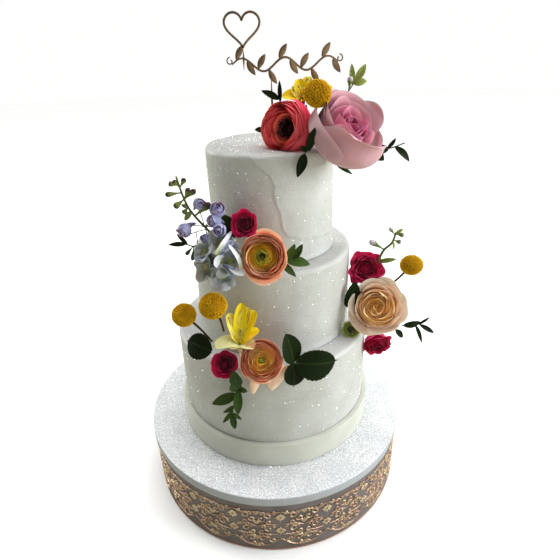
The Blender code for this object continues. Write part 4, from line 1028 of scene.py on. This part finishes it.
lily, tree, shader = finish("yellow_petals", roughness=0.45, specular_ior_level=0.2, subsurface_weight=0.2,
                            subsurface_scale=0.005)
marks = add(tree, "ShaderNodeGroup", node_tree=PETAL_MARKS).outputs
tone = add(tree, "ShaderNodeAttribute", attribute_name="tone").outputs["Fac"]
colour = ramp(tree, tone, (0.05, (0.16, 0.015, 0.02)), (0.16, (0.72, 0.60, 0.08)), (0.34, (0.84, 0.80, 0.40)),
              (0.55, (0.92, 0.66, 0.006)), (0.78, (0.92, 0.60, 0.004)), (1.0, (0.92, 0.74, 0.10)))
lines = add(tree, "ShaderNodeMapRange", {"Value": marks["Vein"], "From Min": 0.53, "From Max": 0.59}).outputs[0]
where = ramp(tree, marks["Along"], (0.25, (0, 0, 0)), (0.40, (1, 1, 1)), (0.72, (1, 1, 1)), (0.85, (0, 0, 0)))
fleck = sums(tree, "MULTIPLY", sums(tree, "MULTIPLY", lines, where), sums(tree, "GREATER_THAN", tone, 0.8))
colour = blend(tree, fleck, colour, (0.13, 0.035, 0.01))
tip_green = add(tree, "ShaderNodeMapRange", {"Value": marks["Along"], "From Min": 0.80, "From Max": 0.97}).outputs[0]
pale_one = sums(tree, "MULTIPLY", sums(tree, "COMPARE", tone, 0.35, 0.1), tip_green)
tree.links.new(blend(tree, pale_one, colour, (0.16, 0.26, 0.06)), shader.inputs["Base Color"])
relief(tree, shader, marks["Vein"], 0.0003)

LILIES = [  # node, throat, way it opens, petals: tip, width, tone
    ("low_alstroemeria", (-0.0385, -0.1290, 0.2880), (0.05, -0.35, 0.95),
     [((-0.0490, -0.1220, 0.3290), 0.0160, 1.0), ((-0.0180, -0.1210, 0.3300), 0.0205, 0.65), ((-0.0265, -0.1170, 0.3330), 0.0150, 0.9),
      ((-0.0330, -0.1130, 0.3365), 0.0150, 0.55), ((-0.0335, -0.1310, 0.3140), 0.0100, 1.0), ((-0.0670, -0.1390, 0.2965), 0.0175, 0.35),
      ((-0.0200, -0.1430, 0.2950), 0.0165, 0.35), ((-0.0150, -0.1260, 0.3080), 0.0150, 0.6),
      ((-0.0500, -0.1430, 0.2960), 0.0140, 0.40)]),
    ("top_alstroemeria", (0.0450, -0.0200, 0.5400), (-0.10, -0.75, 0.60),
     [((0.0215, -0.0300, 0.5465), 0.0140, 0.6), ((0.0320, -0.0260, 0.5550), 0.0140, 1.0),
      ((0.0400, -0.0220, 0.5630), 0.0150, 0.6), ((0.0530, -0.0200, 0.5650), 0.0140, 1.0),
      ((0.0670, -0.0220, 0.5600), 0.0150, 0.6), ((0.0770, -0.0260, 0.5530), 0.0150, 0.6)])]
for node, throat, opening, tips in LILIES:
    rng = np.random.default_rng(len(node))
    throat, opening = np.array(throat), np.array(opening)
    flower = Petals()
    s = np.sin(0.5 * math.pi * np.linspace(0, 1, 18))[:, None]
    for tip, width, tone in tips:
        tip = np.array(tip)
        bend = throat + opening * 0.55 * np.linalg.norm(tip - throat)
        path = throat * (1 - s) ** 2 + 2 * bend * s * (1 - s) + tip * s ** 2
        half = 0.5 * width * (0.2 + 0.8 * smooth_step(s / 0.5)) * (1 - np.clip(3 * s - 2, 0, 1) ** 2.2) ** 0.5
        face = np.cross(np.cross(tip - throat, opening - 0.4 * (tip - throat) / 0.04), tip - throat)
        if abs(np.dot(face, face)) < 1e-12:
            face = opening
        sheet = strip(path, half[:, 0], face + 0.00002 * TOWARDS_FRONT, 0.35, 9)
        flower.blade(sheet + rng.normal(0, 0.00012, sheet.shape), 0.0005, tone)
    for k in range(6):
        lean = opening + np.array([0.25 * math.cos(k), 0.12 * math.sin(2 * k), 0.25 * math.sin(k)])
        filament = throat + lean * s * 0.018
        flower.tube(filament, 0.0004 + 0.0007 * (s[:, 0] > 0.88), 0.14, 5)
    flower.tube(throat + np.outer([-0.020, -0.012, -0.004, 0.002, 0.004], opening), [0.001, 0.0012, 0.0024, 0.003, 0.001],
                0.30 if node[0] == "l" else 0.0, 8)
    if node[0] == "t":
        for start, end in (((0.0405, -0.0330, 0.5440), (0.0425, -0.0400, 0.5240)), ((0.0470, -0.0380, 0.5380),
                                                                                 (0.0490, -0.0420, 0.5200))):
            flower.tube(np.array(start) * (1 - s) + np.array(end) * s, 0.0009 + 0 * s[:, 0], 0.0, 6)
    settle(node + "_bloom", flower.mesh(node + "_bloom", closed=True), lily, "yellow_petals", node, sharp=60)


# ======== The four craspedia balls ========
# Dried-looking golden balls 28 to 32 mm across on thin dark stems, each packed with some five hundred
# tiny tubular florets in a spiral. The right-hand one is slightly flattened.
floret = Petals()
rings = [(0.55, 0.0), (0.62, 0.55), (0.60, 0.82), (0.46, 0.95), (0.24, 0.70)]
turns = math.tau * np.arange(6) / 6
cup = np.stack([np.stack([r * np.cos(turns), r * np.sin(turns), z + 0 * turns], -1) for r, z in rings])
floret.add(np.concatenate([cup, np.broadcast_to([[[0.0, 0.0, 0.66]]], (1, 6, 3))]), 0.5, ring=True)
floret_mesh = floret.mesh("floret")
height = np.array([vertex.co.z for vertex in floret_mesh.vertices])
reach = np.array([math.hypot(vertex.co.x, vertex.co.y) for vertex in floret_mesh.vertices])
# the floret's open middle is near black and its lower sides darker than its tip: painted shade in the hollow and in the
# gaps between florets
shade = np.where(reach < 0.3, 0.0, np.where(height > 0.5, 1.0, 0.24))
floret_mesh.attributes["tone"].data.foreach_set("value", shade)
floret_piece = bpy.data.objects.new("floret", floret_mesh)
bpy.context.collection.objects.link(floret_piece)

golden, tree, shader = finish("craspedia_yellow", roughness=0.7, specular_ior_level=0.15)
tone = add(tree, "ShaderNodeAttribute", attribute_name="tone").outputs["Fac"]
drift = sums(tree, "ADD", tone, sums(tree, "MULTIPLY_ADD", grain(tree, 130.0, 2.0), 0.7, -0.38))
# the dark low stops carry that painted shade, mottled by a noise
gold = ramp(tree, drift, (0.02, (0.05, 0.028, 0.005)), (0.20, (0.22, 0.10, 0.004)), (0.45, (0.50, 0.23, 0.003)),
            (0.75, (0.62, 0.33, 0.002)), (1.00, (0.77, 0.45, 0.003)))
tree.links.new(gold, shader.inputs["Base Color"])
relief(tree, shader, grain(tree, 1500.0, 2.0), 0.0003)

ball, sizes = tree_with("florets_on_a_ball", Florets="Int", Radius="Float", Flatten="Float", Floret_Size="Float",
                        Floret="Object", Ball_Place="Vector", Seed="Int")
number = add(ball, "GeometryNodeInputIndex").outputs[0]
share = sums(ball, "DIVIDE", sums(ball, "ADD", number, 0.5), sizes["Florets"])
level = sums(ball, "MULTIPLY_ADD", share, -2.0, 1.0)
round_at = sums(ball, "SQRT", sums(ball, "SUBTRACT", 1.0, sums(ball, "MULTIPLY", level, level)))
spin = sums(ball, "MULTIPLY", number, GOLDEN_TURN)
way = add(ball, "ShaderNodeCombineXYZ", {"X": sums(ball, "MULTIPLY", round_at, sums(ball, "COSINE", spin)),
                                         "Y": sums(ball, "MULTIPLY", round_at, sums(ball, "SINE", spin)), "Z": level})
squash = add(ball, "ShaderNodeCombineXYZ", {"X": sizes["Radius"], "Y": sizes["Radius"],
                                            "Z": sums(ball, "MULTIPLY", sizes["Radius"], sizes["Flatten"])})
jitter = add(ball, "FunctionNodeRandomValue", {0: (-0.03, -0.03, -0.03), 1: (0.03, 0.03, 0.03), "Seed": sizes["Seed"]},
             data_type="FLOAT_VECTOR")
way = add(ball, "ShaderNodeVectorMath", {0: way.outputs[0], 1: jitter.outputs[0]})
way = add(ball, "ShaderNodeVectorMath", {0: way.outputs[0]}, operation="NORMALIZE")
spot = add(ball, "ShaderNodeVectorMath", {0: way.outputs[0], 1: squash.outputs[0], 2: sizes["Ball Place"]},
           operation="MULTIPLY_ADD")
points = add(ball, "GeometryNodePoints", {"Count": sizes["Florets"], "Position": spot.outputs[0]})
# each floret stands straight out from the ball and varies a little in size
spread_at = add(ball, "ShaderNodeVectorMath", {0: add(ball, "GeometryNodeInputPosition").outputs[0], 1: sizes["Ball Place"]},
                operation="SUBTRACT")
outward = add(ball, "FunctionNodeAlignRotationToVector", {"Vector": spread_at.outputs[0]}, axis="Z")
vary = add(ball, "FunctionNodeRandomValue", {2: 0.82, 3: 1.12, "Seed": sizes["Seed"]}, data_type="FLOAT")
scale = sums(ball, "MULTIPLY", vary.outputs[1], sizes["Floret Size"])
kind = add(ball, "GeometryNodeObjectInfo", {"Object": sizes["Floret"]})
grown = add(ball, "GeometryNodeInstanceOnPoints", {"Points": points.outputs[0], "Instance": kind.outputs["Geometry"],
                                                   "Rotation": outward.outputs[0], "Scale": scale})
together = add(ball, "GeometryNodeJoinGeometry", {0: ball.nodes["Group Input"].outputs["Geometry"]})
ball.links.new(grown.outputs[0], together.inputs[0])
close_tree(ball, together.outputs[0], golden)

BALLS = [  # node, middle, radius, flattening, foot of the stem
    ("top_craspedia", (0.0562, -0.0680, 0.5515), 0.0142, 0.97, (0.0520, -0.0200, 0.4960)),
    ("low_left_craspedia", (-0.0999, -0.1150, 0.3252), 0.0140, 0.97, (-0.0710, -0.1180, 0.2890)),
    ("low_right_craspedia", (-0.0649, -0.1220, 0.3394), 0.0160, 0.93, (-0.0570, -0.1120, 0.2990)),
    ("right_craspedia", (0.1786, -0.0500, 0.3452), 0.0145, 0.85, (0.1540, -0.0470, 0.3155))]
for number, (node, middle, radius, flatten, foot) in enumerate(BALLS):
    middle, foot = np.array(middle), np.array(foot)
    core = Petals()
    s = np.linspace(0, 1, 12)
    down = np.array([0.0, 0.0, 1.0])
    core.tube(middle + np.outer(-0.9 * radius * flatten * np.cos(math.pi * s), down), 0.9 * radius * np.sin(math.pi * s) + 1e-6,
              0.36, 20)
    bow = 0.0015 * np.sin(math.pi * s)[:, None] * np.array([1.0, 0.0, 0.3])
    core.tube(foot + (middle - foot) * s[:, None] * 0.97 + bow, 0.0012 + 0.0004 * s, 0.0, 8)
    mesh = run_tree(core.mesh(node, closed=True), ball, Florets=420, Radius=0.89 * radius, Flatten=flatten,
                    Floret_Size=0.120 * radius, Floret=floret_piece, Ball_Place=middle.tolist(), Seed=number)
    settle(node + "_ball", mesh, golden, "yellow_balls", node, sharp=60)
bpy.data.objects.remove(floret_piece)


# ======== The delphinium buds on the middle tier ========
# Six rounded lilac-blue buds of veined petals, each with a short spur, on thin stalks from one green stem.
# The stem's upper end carries unopened club-shaped green buds with dark tips.
def club(base, tip, radius):
    """The path and the radii of a bud which swells towards its tip."""
    s = np.array([0.0, 0.25, 0.5, 0.7, 0.88, 1.0])[:, None]
    path = np.asarray(base) * (1 - s) + np.asarray(tip) * s
    return path, radius * np.array([0.28, 0.30, 0.62, 1.0, 1.05, 0.6])


def eased(points):
    """A stem's path with its corners rounded off."""
    points = np.asarray(points, float)
    for _ in range(3):
        middle = np.stack([0.75 * points[:-1] + 0.25 * points[1:], 0.25 * points[:-1] + 0.75 * points[1:]], 1)
        points = np.concatenate([points[:1], middle.reshape(-1, 3), points[-1:]])
    return points


def leaf(base, tip, width, face=TOWARDS_FRONT, bend=0.10, teeth=0, rows=14):
    """A leaf that bows out from the straight line between its ends; a rose leaf has teeth."""
    s = np.linspace(0, 1, rows)
    base, tip = np.asarray(base), np.asarray(tip)
    bow = bend * np.linalg.norm(tip - base) * np.sin(math.pi * s)
    half = 0.5 * width * (np.sin(math.pi * s ** 0.85) ** 0.8 + 0.05 * (1 - s))
    if teeth:
        half = 0.5 * width * (np.sin(math.pi * np.clip(s / 0.9, 0, 1) ** 0.9) ** 0.65 + 0.09 * (1 - s) / (1.01 - 0.9 * s))
        half = half * (0.93 + 0.14 * np.abs((s * teeth) % 1 - 0.5))
    return strip(base + (tip - base) * s[:, None] + np.outer(bow, face), half + 0.00005, face, 0.24, 9)


def sprig(node, slot, material, stem, leaves, buds=(), thick=0.0008, face=TOWARDS_FRONT, teeth=0, twigs=()):
    """A stem with its leaves (base, tip, width), its buds (base, tip, radius) and bare twigs (base, tip)."""
    gather = Petals()
    path = eased(stem)
    if len(path) > 2:
        gather.tube(path, np.linspace(1.15 * thick, 0.75 * thick, len(path)))
    rng = np.random.default_rng(len(node) + len(leaves))
    for base, tip, width in leaves:
        nearest = path[np.argmin(np.linalg.norm(path - np.asarray(base), axis=1))] if len(path) > 2 else base
        turned = face + rng.uniform(-0.25, 0.25, 3)
        blade = leaf(nearest, tip, width, turned / np.linalg.norm(turned), rng.uniform(0.05, 0.15), teeth,
                     3 * teeth + 1 if teeth else 14)
        gather.blade(blade, 0.0006, rng.uniform(0.6, 1.0))
    for base, tip, radius in buds:
        nearest = path[np.argmin(np.linalg.norm(path - np.asarray(base), axis=1))]
        gather.tube(*club(nearest, tip, radius), 0.3)
    for base, tip in twigs:
        s = np.linspace(0, 1, 8)[:, None]
        bow = 0.08 * np.linalg.norm(np.subtract(tip, base)) * np.sin(math.pi * s) * np.array([0.4, -0.5, 0.7])
        gather.tube(np.asarray(base) * (1 - s) + np.asarray(tip) * s + bow, 0.0005 + 0 * s[:, 0], 0.05, 6)
    settle(node + "_growth", gather.mesh(node + "_growth", closed=True), material, slot, node, sharp=50)


def leaf_finish(name, stem, bud, bud_end, dark, light, rib, roughness=0.42):
    """Stems, buds with their own end colour, and leaves with a midrib, told apart by tone."""
    material, tree, shader = finish(name, roughness=roughness, specular_ior_level=0.06, subsurface_weight=0.05,
                                    subsurface_scale=0.003)
    marks = add(tree, "ShaderNodeGroup", {"Vein Scale": 10.0}, node_tree=PETAL_MARKS).outputs
    tone = add(tree, "ShaderNodeAttribute", attribute_name="tone").outputs["Fac"]
    mottled = sums(tree, "MULTIPLY_ADD", marks["Mottle"], 0.5, sums(tree, "ADD", tone, -0.25))
    green = ramp(tree, mottled, (0.45, dark), (1.05, light))
    is_leaf = sums(tree, "GREATER_THAN", tone, 0.5)
    green = blend(tree, sums(tree, "MULTIPLY", marks["Middle"], 0.55), green, rib)
    end = ramp(tree, marks["Along"], (0.55, bud), (0.72, bud_end))
    other = blend(tree, sums(tree, "GREATER_THAN", tone, 0.15), stem, end)
    tree.links.new(blend(tree, is_leaf, other, green), shader.inputs["Base Color"])
    ribs = sums(tree, "MULTIPLY_ADD", marks["Middle"], -0.8, marks["Vein"])
    relief(tree, shader, ribs, 0.0006)
    return material


bud_green = leaf_finish("bud_green", (0.10, 0.13, 0.035), (0.17, 0.20, 0.055), (0.055, 0.035, 0.028),
                        (0.12, 0.17, 0.045), (0.24, 0.30, 0.10), (0.30, 0.36, 0.14))
DELPHINIUM_BUDS = [((-0.0725, -0.0930, 0.4485), (-50, 20), 0.0064), ((-0.0530, -0.0960, 0.4420), (-70, 45), 0.0086),
                   ((-0.0565, -0.1000, 0.4310), (-140, 15), 0.0078), ((-0.0515, -0.1080, 0.4235), (-92, 5), 0.0072),
                   ((-0.0900, -0.0980, 0.4215), (-125, -25), 0.0078), ((-0.0690, -0.0985, 0.4110), (-120, 15), 0.0050)]
stalks = [((-0.0700, -0.0860, 0.4200), np.subtract(at, 0.9 * radius * np.array(aimed(facing).to_3x3() @ Vector((0, 0, 1)))))
          for at, facing, radius in DELPHINIUM_BUDS]
stalks += [((-0.0690, -0.0870, 0.4170), (-0.0900, -0.0870, 0.4110)), ((-0.0800, -0.0870, 0.4140), (-0.0800, -0.0870, 0.4010)),
           ((-0.0690, -0.0870, 0.4170), (-0.0600, -0.0900, 0.4330))]
sprig("mid_delphinium_stem", "bud_green", bud_green,
      [(-0.0649, -0.0830, 0.4120), (-0.0833, -0.0890, 0.4388), (-0.0885, -0.0930, 0.4571), (-0.0924, -0.0950, 0.4790)],
      [((-0.0835, -0.0890, 0.4390), (-0.0900, -0.0920, 0.4300), 0.0060)],
      [((-0.0905, -0.0940, 0.4690), (-0.1010, -0.0950, 0.4720), 0.0027),
       ((-0.0905, -0.0940, 0.4680), (-0.0840, -0.0950, 0.4765), 0.0027),
       ((-0.0905, -0.0940, 0.4660), (-0.0960, -0.0950, 0.4750), 0.0025),
       ((-0.0885, -0.0933, 0.4620), (-0.1060, -0.0945, 0.4600), 0.0027),
       ((-0.0870, -0.0924, 0.4535), (-0.0985, -0.0940, 0.4460), 0.0034),
       ((-0.0865, -0.0924, 0.4500), (-0.0890, -0.0940, 0.4460), 0.0032),
       ((-0.0865, -0.0920, 0.4540), (-0.0745, -0.0950, 0.4640), 0.0030),
       ((-0.0865, -0.0920, 0.4540), (-0.0810, -0.0950, 0.4660), 0.0028),
       ((-0.0835, -0.0900, 0.4440), (-0.0905, -0.0900, 0.4375), 0.0030),
       ((-0.0780, -0.0890, 0.4330), (-0.0610, -0.0940, 0.4485), 0.0040)], 0.0013, twigs=stalks)

lilac = petal_finish("lilac_petals", [(0.0, (0.20, 0.22, 0.05)), (0.22, (0.14, 0.12, 0.28)), (0.5, (0.25, 0.24, 0.46)),
                                      (0.85, (0.40, 0.40, 0.60)), (1.0, (0.70, 0.70, 0.80))],
                     (0.66, 0.67, 0.80), 0.4, (0.26, 0.30, 0.16), 0.45, 0.38, veins=0.30)
for number, (at, facing, radius) in enumerate(DELPHINIUM_BUDS, start=1):
    rng = np.random.default_rng(50 + number)
    bud = Petals()
    whorls(bud, rng, radius, [(3, 0.98, 0.74, -1.1, 0.85, 0.12, 0.10, 0.66), (3, 0.78, 0.34, -0.9, 0.92, 0, 0.08, 0.60),
                              (3, 0.50, 0.12, -0.7, 0.90, 0, 0.06, 0.40)], 0.7 * number, tip=0.3)
    bud.tube(radius * np.array([(0, 0, -0.6), (0.1, 0, -1.1), (0.35, 0, -1.6), (0.7, 0, -2.1), (0.8, 0, -2.2)]),
             radius * np.array([0.5, 0.42, 0.26, 0.16, 0.05]), 0.45)
    set_head(f"mid_delphinium_bud_{number}", bud, lilac, "lilac_petals", at, facing)


# ======== The hydrangea florets on the middle tier ========
# A cluster of five florets with broad, curled, silvery lilac petals round yellow-green middles. They sit
# close together below the delphinium. Two of them carry a curled near-white strip: a painted highlight.
# the near-white top stop is a painted highlight; the curled strips on florets two and three take it in full, and the
# palest petals partly
silver = petal_finish("silvery_petals", [(0.02, (0.40, 0.44, 0.08)), (0.25, (0.20, 0.23, 0.40)), (0.50, (0.25, 0.29, 0.24)),
                                         (0.85, (0.36, 0.38, 0.41)), (1.0, (0.92, 0.93, 0.95))],
                      (0.50, 0.52, 0.57), 0.4, (0.46, 0.50, 0.10), 1.0, 0.40, veins=0.2, soft=0.1)
HYDRANGEA = [((-0.0700, -0.1020, 0.3965), (-135, 40), 0.0175), ((-0.0520, -0.1050, 0.4040), (-100, 55), 0.0165),
             ((-0.0450, -0.1150, 0.3900), (-65, 15), 0.0175), ((-0.0680, -0.1100, 0.3820), (-125, -5), 0.0165),
             ((-0.0520, -0.1220, 0.3780), (-95, 5), 0.0165)]
for number, (at, facing, radius) in enumerate(HYDRANGEA, start=1):
    rng = np.random.default_rng(60 + number)
    floret = Petals()
    for k in range(5):
        sizes = [radius * share for share in (0.50, rng.uniform(0.70, 1.05), -0.25, rng.uniform(0.1, 0.8),
                                              rng.uniform(-0.2, 0.3), 0.20)]
        sheet = petal(rng, math.tau * k / 5 + rng.uniform(-0.35, 0.35), math.radians(66), *sizes, tip=0.40, tuck=0.3,
                      belly_at=0.45, rows=14, columns=19)
        floret.blade(sheet, 0.0005, rng.uniform(0.25, 0.95))
    eye(floret, rng, -0.0030, 0.0024, 0.0, 9)
    plug(floret, 0.55 * radius, -0.35 * radius, -0.20 * radius, 0.5)
    # a curled near-white strip on florets two and three: a painted highlight across the petals
    if number in (2, 3):
        curl = strip(eased([(0.2 * radius, -1.0 * radius, 0.5 * radius), (0.5 * radius, -0.1 * radius, 0.8 * radius),
                            (0.4 * radius, 1.0 * radius, 0.5 * radius)]), 0.0026 * np.sin(np.linspace(0.2, 3.0, 24)),
                     (0.3, 0.0, 1.0), 0.5)
        floret.blade(curl, 0.0005, 1.0)
    set_head(f"mid_hydrangea_{number}", floret, silver, "lilac_petals", at, facing, 36 * number)


# ======== The dark leaves, sprigs and twig ========
# Small blue-green and near-black leaves tucked in round the flowers on wiry stems, and three large
# toothed rose leaves on the bottom tier, folded slightly along a paler midrib.
dark_green = leaf_finish("dark_leaves", (0.045, 0.075, 0.040), (0.05, 0.08, 0.045), (0.03, 0.05, 0.03),
                         (0.003, 0.007, 0.002), (0.009, 0.020, 0.004), (0.022, 0.042, 0.012))
DARK = [  # node, stem, leaves, buds
    ("top_left_sprig", [(0.0230, -0.0125, 0.5200), (0.0215, -0.0135, 0.5320), (0.0185, -0.0140, 0.5440)],
     [((0.0190, -0.0140, 0.5420), (-0.0014, -0.0140, 0.5520), 0.0075),
      ((0.0200, -0.0140, 0.5390), (0.0195, -0.0140, 0.5620), 0.0048)], []),
    ("top_left_leaf", [(0.0000, -0.0300, 0.5110)], [((0.0000, -0.0300, 0.5110), (-0.0105, -0.0300, 0.5125), 0.0065)], []),
    ("top_front_sprig", [(0.0470, -0.0840, 0.4985), (0.0430, -0.0820, 0.4970), (0.0405, -0.0805, 0.4930)],
     [((0.0435, -0.0825, 0.4975), (0.0520, -0.0860, 0.5215), 0.0095),
      ((0.0415, -0.0810, 0.4950), (0.0336, -0.0785, 0.4690), 0.0105),
      ((0.0430, -0.0820, 0.4970), (0.0360, -0.0830, 0.5020), 0.0060)], []),
    ("top_right_sprig", [(0.1180, -0.0440, 0.4860), (0.1290, -0.0470, 0.4900), (0.1400, -0.0490, 0.4900),
                         (0.1560, -0.0500, 0.4960)],
     [((0.1200, -0.0455, 0.4885), (0.1345, -0.0480, 0.4770), 0.0120),
      ((0.1220, -0.0455, 0.4885), (0.1390, -0.0480, 0.4890), 0.0110),
      ((0.1360, -0.0485, 0.4895), (0.1454, -0.0500, 0.5016), 0.0045),
      ((0.1460, -0.0492, 0.4920), (0.1630, -0.0500, 0.4750), 0.0080)], []),
    ("mid_dark_leaf", [(-0.0395, -0.0930, 0.4060)], [((-0.0395, -0.0930, 0.4060), (-0.0485, -0.0885, 0.4341), 0.0190)], []),
    ("mid_back_leaf", [(-0.0290, -0.0850, 0.4060)], [((-0.0290, -0.0850, 0.4060), (-0.0400, -0.0820, 0.4280), 0.0160)], []),
    ("mid_twig", [(-0.0810, -0.0860, 0.3980), (-0.0860, -0.0850, 0.3965), (-0.0937, -0.0850, 0.4000)],
     [((-0.0930, -0.0850, 0.3995), (-0.1129, -0.0850, 0.4000), 0.0055),
      ((-0.0915, -0.0850, 0.3990), (-0.1022, -0.0850, 0.4128), 0.0045)],
     [((-0.0850, -0.0852, 0.3970), (-0.0945, -0.0850, 0.3870), 0.0022),
      ((-0.0845, -0.0855, 0.3968), (-0.0880, -0.0855, 0.3800), 0.0022)]),
    ("right_leaf_sprig", [(0.1730, -0.0540, 0.2580), (0.1840, -0.0520, 0.2570), (0.1990, -0.0500, 0.2560)],
     [((0.1750, -0.0535, 0.2578), (0.2000, -0.0500, 0.2600), 0.0090),
      ((0.1970, -0.0500, 0.2562), (0.2115, -0.0500, 0.2669), 0.0035),
      ((0.1930, -0.0506, 0.2565), (0.2050, -0.0500, 0.2253), 0.0055),
      ((0.1980, -0.0500, 0.2560), (0.2201, -0.0500, 0.2410), 0.0065)], []),
    ("right_small_leaf", [(0.1650, -0.0540, 0.2520)], [((0.1650, -0.0540, 0.2520), (0.1764, -0.0540, 0.2385), 0.0080)], [])]
for node, stem, leaves, buds in DARK:
    sprig(node, "dark_leaves", dark_green, stem, leaves, buds)
sprig("low_left_rose_leaf", "dark_leaves", dark_green, [(-0.0700, -0.1330, 0.2860)],
      [((-0.0700, -0.1330, 0.2860), (-0.1030, -0.1080, 0.2860), 0.0290)], teeth=9, face=np.array([-0.35, -0.70, 0.55]))
sprig("low_rose_leaf_spray", "dark_leaves", dark_green,
      [(0.0185, -0.1385, 0.2700), (0.0235, -0.1400, 0.2695), (0.0290, -0.1405, 0.2690)],
      [((0.0255, -0.1402, 0.2693), (0.0769, -0.1290, 0.2633), 0.0370),
       ((0.0225, -0.1397, 0.2697), (0.0135, -0.1370, 0.3118), 0.0250),
       ((0.0225, -0.1397, 0.2697), (0.0225, -0.1400, 0.2337), 0.0240)], (), 0.0011, np.array([0.15, -0.90, 0.40]), 11)
sprig("right_rose_leaf", "dark_leaves", dark_green, [(0.0990, -0.0540, 0.2900)],
      [((0.0990, -0.0540, 0.2900), (0.1085, -0.0500, 0.3290), 0.0190)], teeth=7)


# ======== The green leaves and the pale bud sprigs ========
# Fresher foliage: four leaves beside the peach ranunculus, one under the pink rose, a hanging ruscus
# sprig on the bottom tier, and two upright sprigs of pale green buds at the top and on the right.
fresh_green = leaf_finish("green_leaves", (0.10, 0.16, 0.06), (0.12, 0.20, 0.05), (0.20, 0.30, 0.08),
                          (0.012, 0.032, 0.008), (0.042, 0.085, 0.016), (0.07, 0.13, 0.04))
sprig("top_under_leaf", "green_leaves", fresh_green, [(0.0770, -0.0745, 0.4790)],
      [((0.0770, -0.0745, 0.4790), (0.0944, -0.0745, 0.4690), 0.0045)])
sprig("mid_leaf_sprig", "green_leaves", fresh_green,
      [(0.0130, -0.1090, 0.3830), (0.0190, -0.1095, 0.3850), (0.0260, -0.1095, 0.3870)],
      [((0.0163, -0.1092, 0.3890), (0.0285, -0.1100, 0.4052), 0.0085),
       ((0.0260, -0.1095, 0.3870), (0.0365, -0.1100, 0.4045), 0.0078),
       ((0.0190, -0.1095, 0.3830), (0.0450, -0.1080, 0.3790), 0.0115),
       ((0.0130, -0.1092, 0.3780), (0.0290, -0.1105, 0.3655), 0.0075)])
sprig("low_ruscus_sprig", "green_leaves", fresh_green,
      [(-0.0402, -0.1530, 0.2600), (-0.0430, -0.1480, 0.2400), (-0.0480, -0.1430, 0.2200), (-0.0530, -0.1400, 0.1960)],
      [((-0.0408, -0.1520, 0.2480), (-0.0445, -0.1620, 0.2800), 0.0140),
       ((-0.0418, -0.1500, 0.2380), (-0.0470, -0.1560, 0.2600), 0.0140),
       ((-0.0415, -0.1505, 0.2430), (-0.0320, -0.1500, 0.2390), 0.0060),
       ((-0.0432, -0.1475, 0.2325), (-0.0773, -0.1350, 0.2097), 0.0125),
       ((-0.0410, -0.1500, 0.2440), (-0.0460, -0.1430, 0.1980), 0.0105),
       ((-0.0500, -0.1420, 0.2120), (-0.0640, -0.1405, 0.2000), 0.0060),
       ((-0.0525, -0.1400, 0.1980), (-0.0517, -0.1390, 0.1707), 0.0080),
       ((-0.0510, -0.1410, 0.2040), (-0.0660, -0.1390, 0.1820), 0.0055),
       ((-0.0520, -0.1405, 0.2000), (-0.0420, -0.1390, 0.1860), 0.0045)], (), 0.0008)
pale_sprig = leaf_finish("pale_buds", (0.11, 0.14, 0.05), (0.12, 0.17, 0.05), (0.52, 0.47, 0.50),
                         (0.09, 0.14, 0.03), (0.30, 0.36, 0.09), (0.30, 0.38, 0.13))
sprig("top_bud_sprig", "bud_green", pale_sprig,
      [(0.0900, -0.0230, 0.5360), (0.0914, -0.0240, 0.5443), (0.0988, -0.0250, 0.5544), (0.1060, -0.0250, 0.5660)],
      [((0.1020, -0.0250, 0.5600), (0.1130, -0.0250, 0.5760), 0.0080),
       ((0.0990, -0.0250, 0.5560), (0.0975, -0.0250, 0.5770), 0.0060),
       ((0.1010, -0.0250, 0.5570), (0.1150, -0.0250, 0.5590), 0.0080)],
      [((0.0955, -0.0245, 0.5500), (0.0960, -0.0290, 0.5640), 0.0030)])
sprig("right_bud_sprig", "bud_green", pale_sprig,
      [(0.1380, -0.0380, 0.3450), (0.1437, -0.0420, 0.3650), (0.1532, -0.0450, 0.3731), (0.1566, -0.0450, 0.3880)],
      [((0.1560, -0.0450, 0.3870), (0.1650, -0.0450, 0.3925), 0.0045),
       ((0.1400, -0.0400, 0.3450), (0.1605, -0.0440, 0.3515), 0.0060),
       ((0.1545, -0.0450, 0.3760), (0.1560, -0.0440, 0.3640), 0.0030)],
      [((0.1440, -0.0420, 0.3640), (0.1250, -0.0450, 0.3780), 0.0036),
       ((0.1550, -0.0450, 0.3850), (0.1480, -0.0450, 0.3945), 0.0024),
       ((0.1560, -0.0450, 0.3860), (0.1670, -0.0450, 0.3840), 0.0030),
       ((0.1540, -0.0450, 0.3780), (0.1640, -0.0450, 0.3745), 0.0028)], 0.0016)
green_cup = Petals()
rng = np.random.default_rng(77)
whorls(green_cup, rng, 0.0105, [(5, 0.75, 1.0, -0.7, 0.30, 0.12, 0.05, 1.0), (4, 0.50, 0.60, -0.6, 0.30, 0.05, 0.05, 1.0),
                                (4, 0.26, 0.30, -0.6, 0.22, 0.0, 0.05, 0.0)], tip=0.25)
set_head("right_green_bud", green_cup, pale_sprig, "bud_green", (0.1025, -0.0630, 0.2612), (-105, 30))


# ======== The loose petals on the bottom tier ========
# Two cream-peach petals, cupped and fallen loose, that rest against the icing under the ranunculus.
LOOSE = [("low_loose_petal_1", (-0.0190, -0.1420, 0.2560), (-0.0263, -0.1385, 0.2247), 0.0130),
         ("low_loose_petal_2", (0.0120, -0.1420, 0.2680), (-0.0040, -0.1385, 0.2290), 0.0230)]
for node, base, tip, width in LOOSE:
    s = np.linspace(0, 1, 12)[:, None]
    path = np.array(base) * (1 - s) + np.array(tip) * s
    half = 0.5 * width * (0.55 + 0.45 * np.sin(math.pi * s[:, 0] ** 0.7)) * (1 - s[:, 0] ** 8) ** 0.5
    loose = Petals()
    loose.blade(strip(path, half + 0.0001, (0.3, -0.9, 0.1), -0.35, 11), 0.0006, 0.62)
    settle(node + "_curl", loose.mesh(node + "_curl", closed=True), rose_cream, "cream_petals", node, sharp=60)
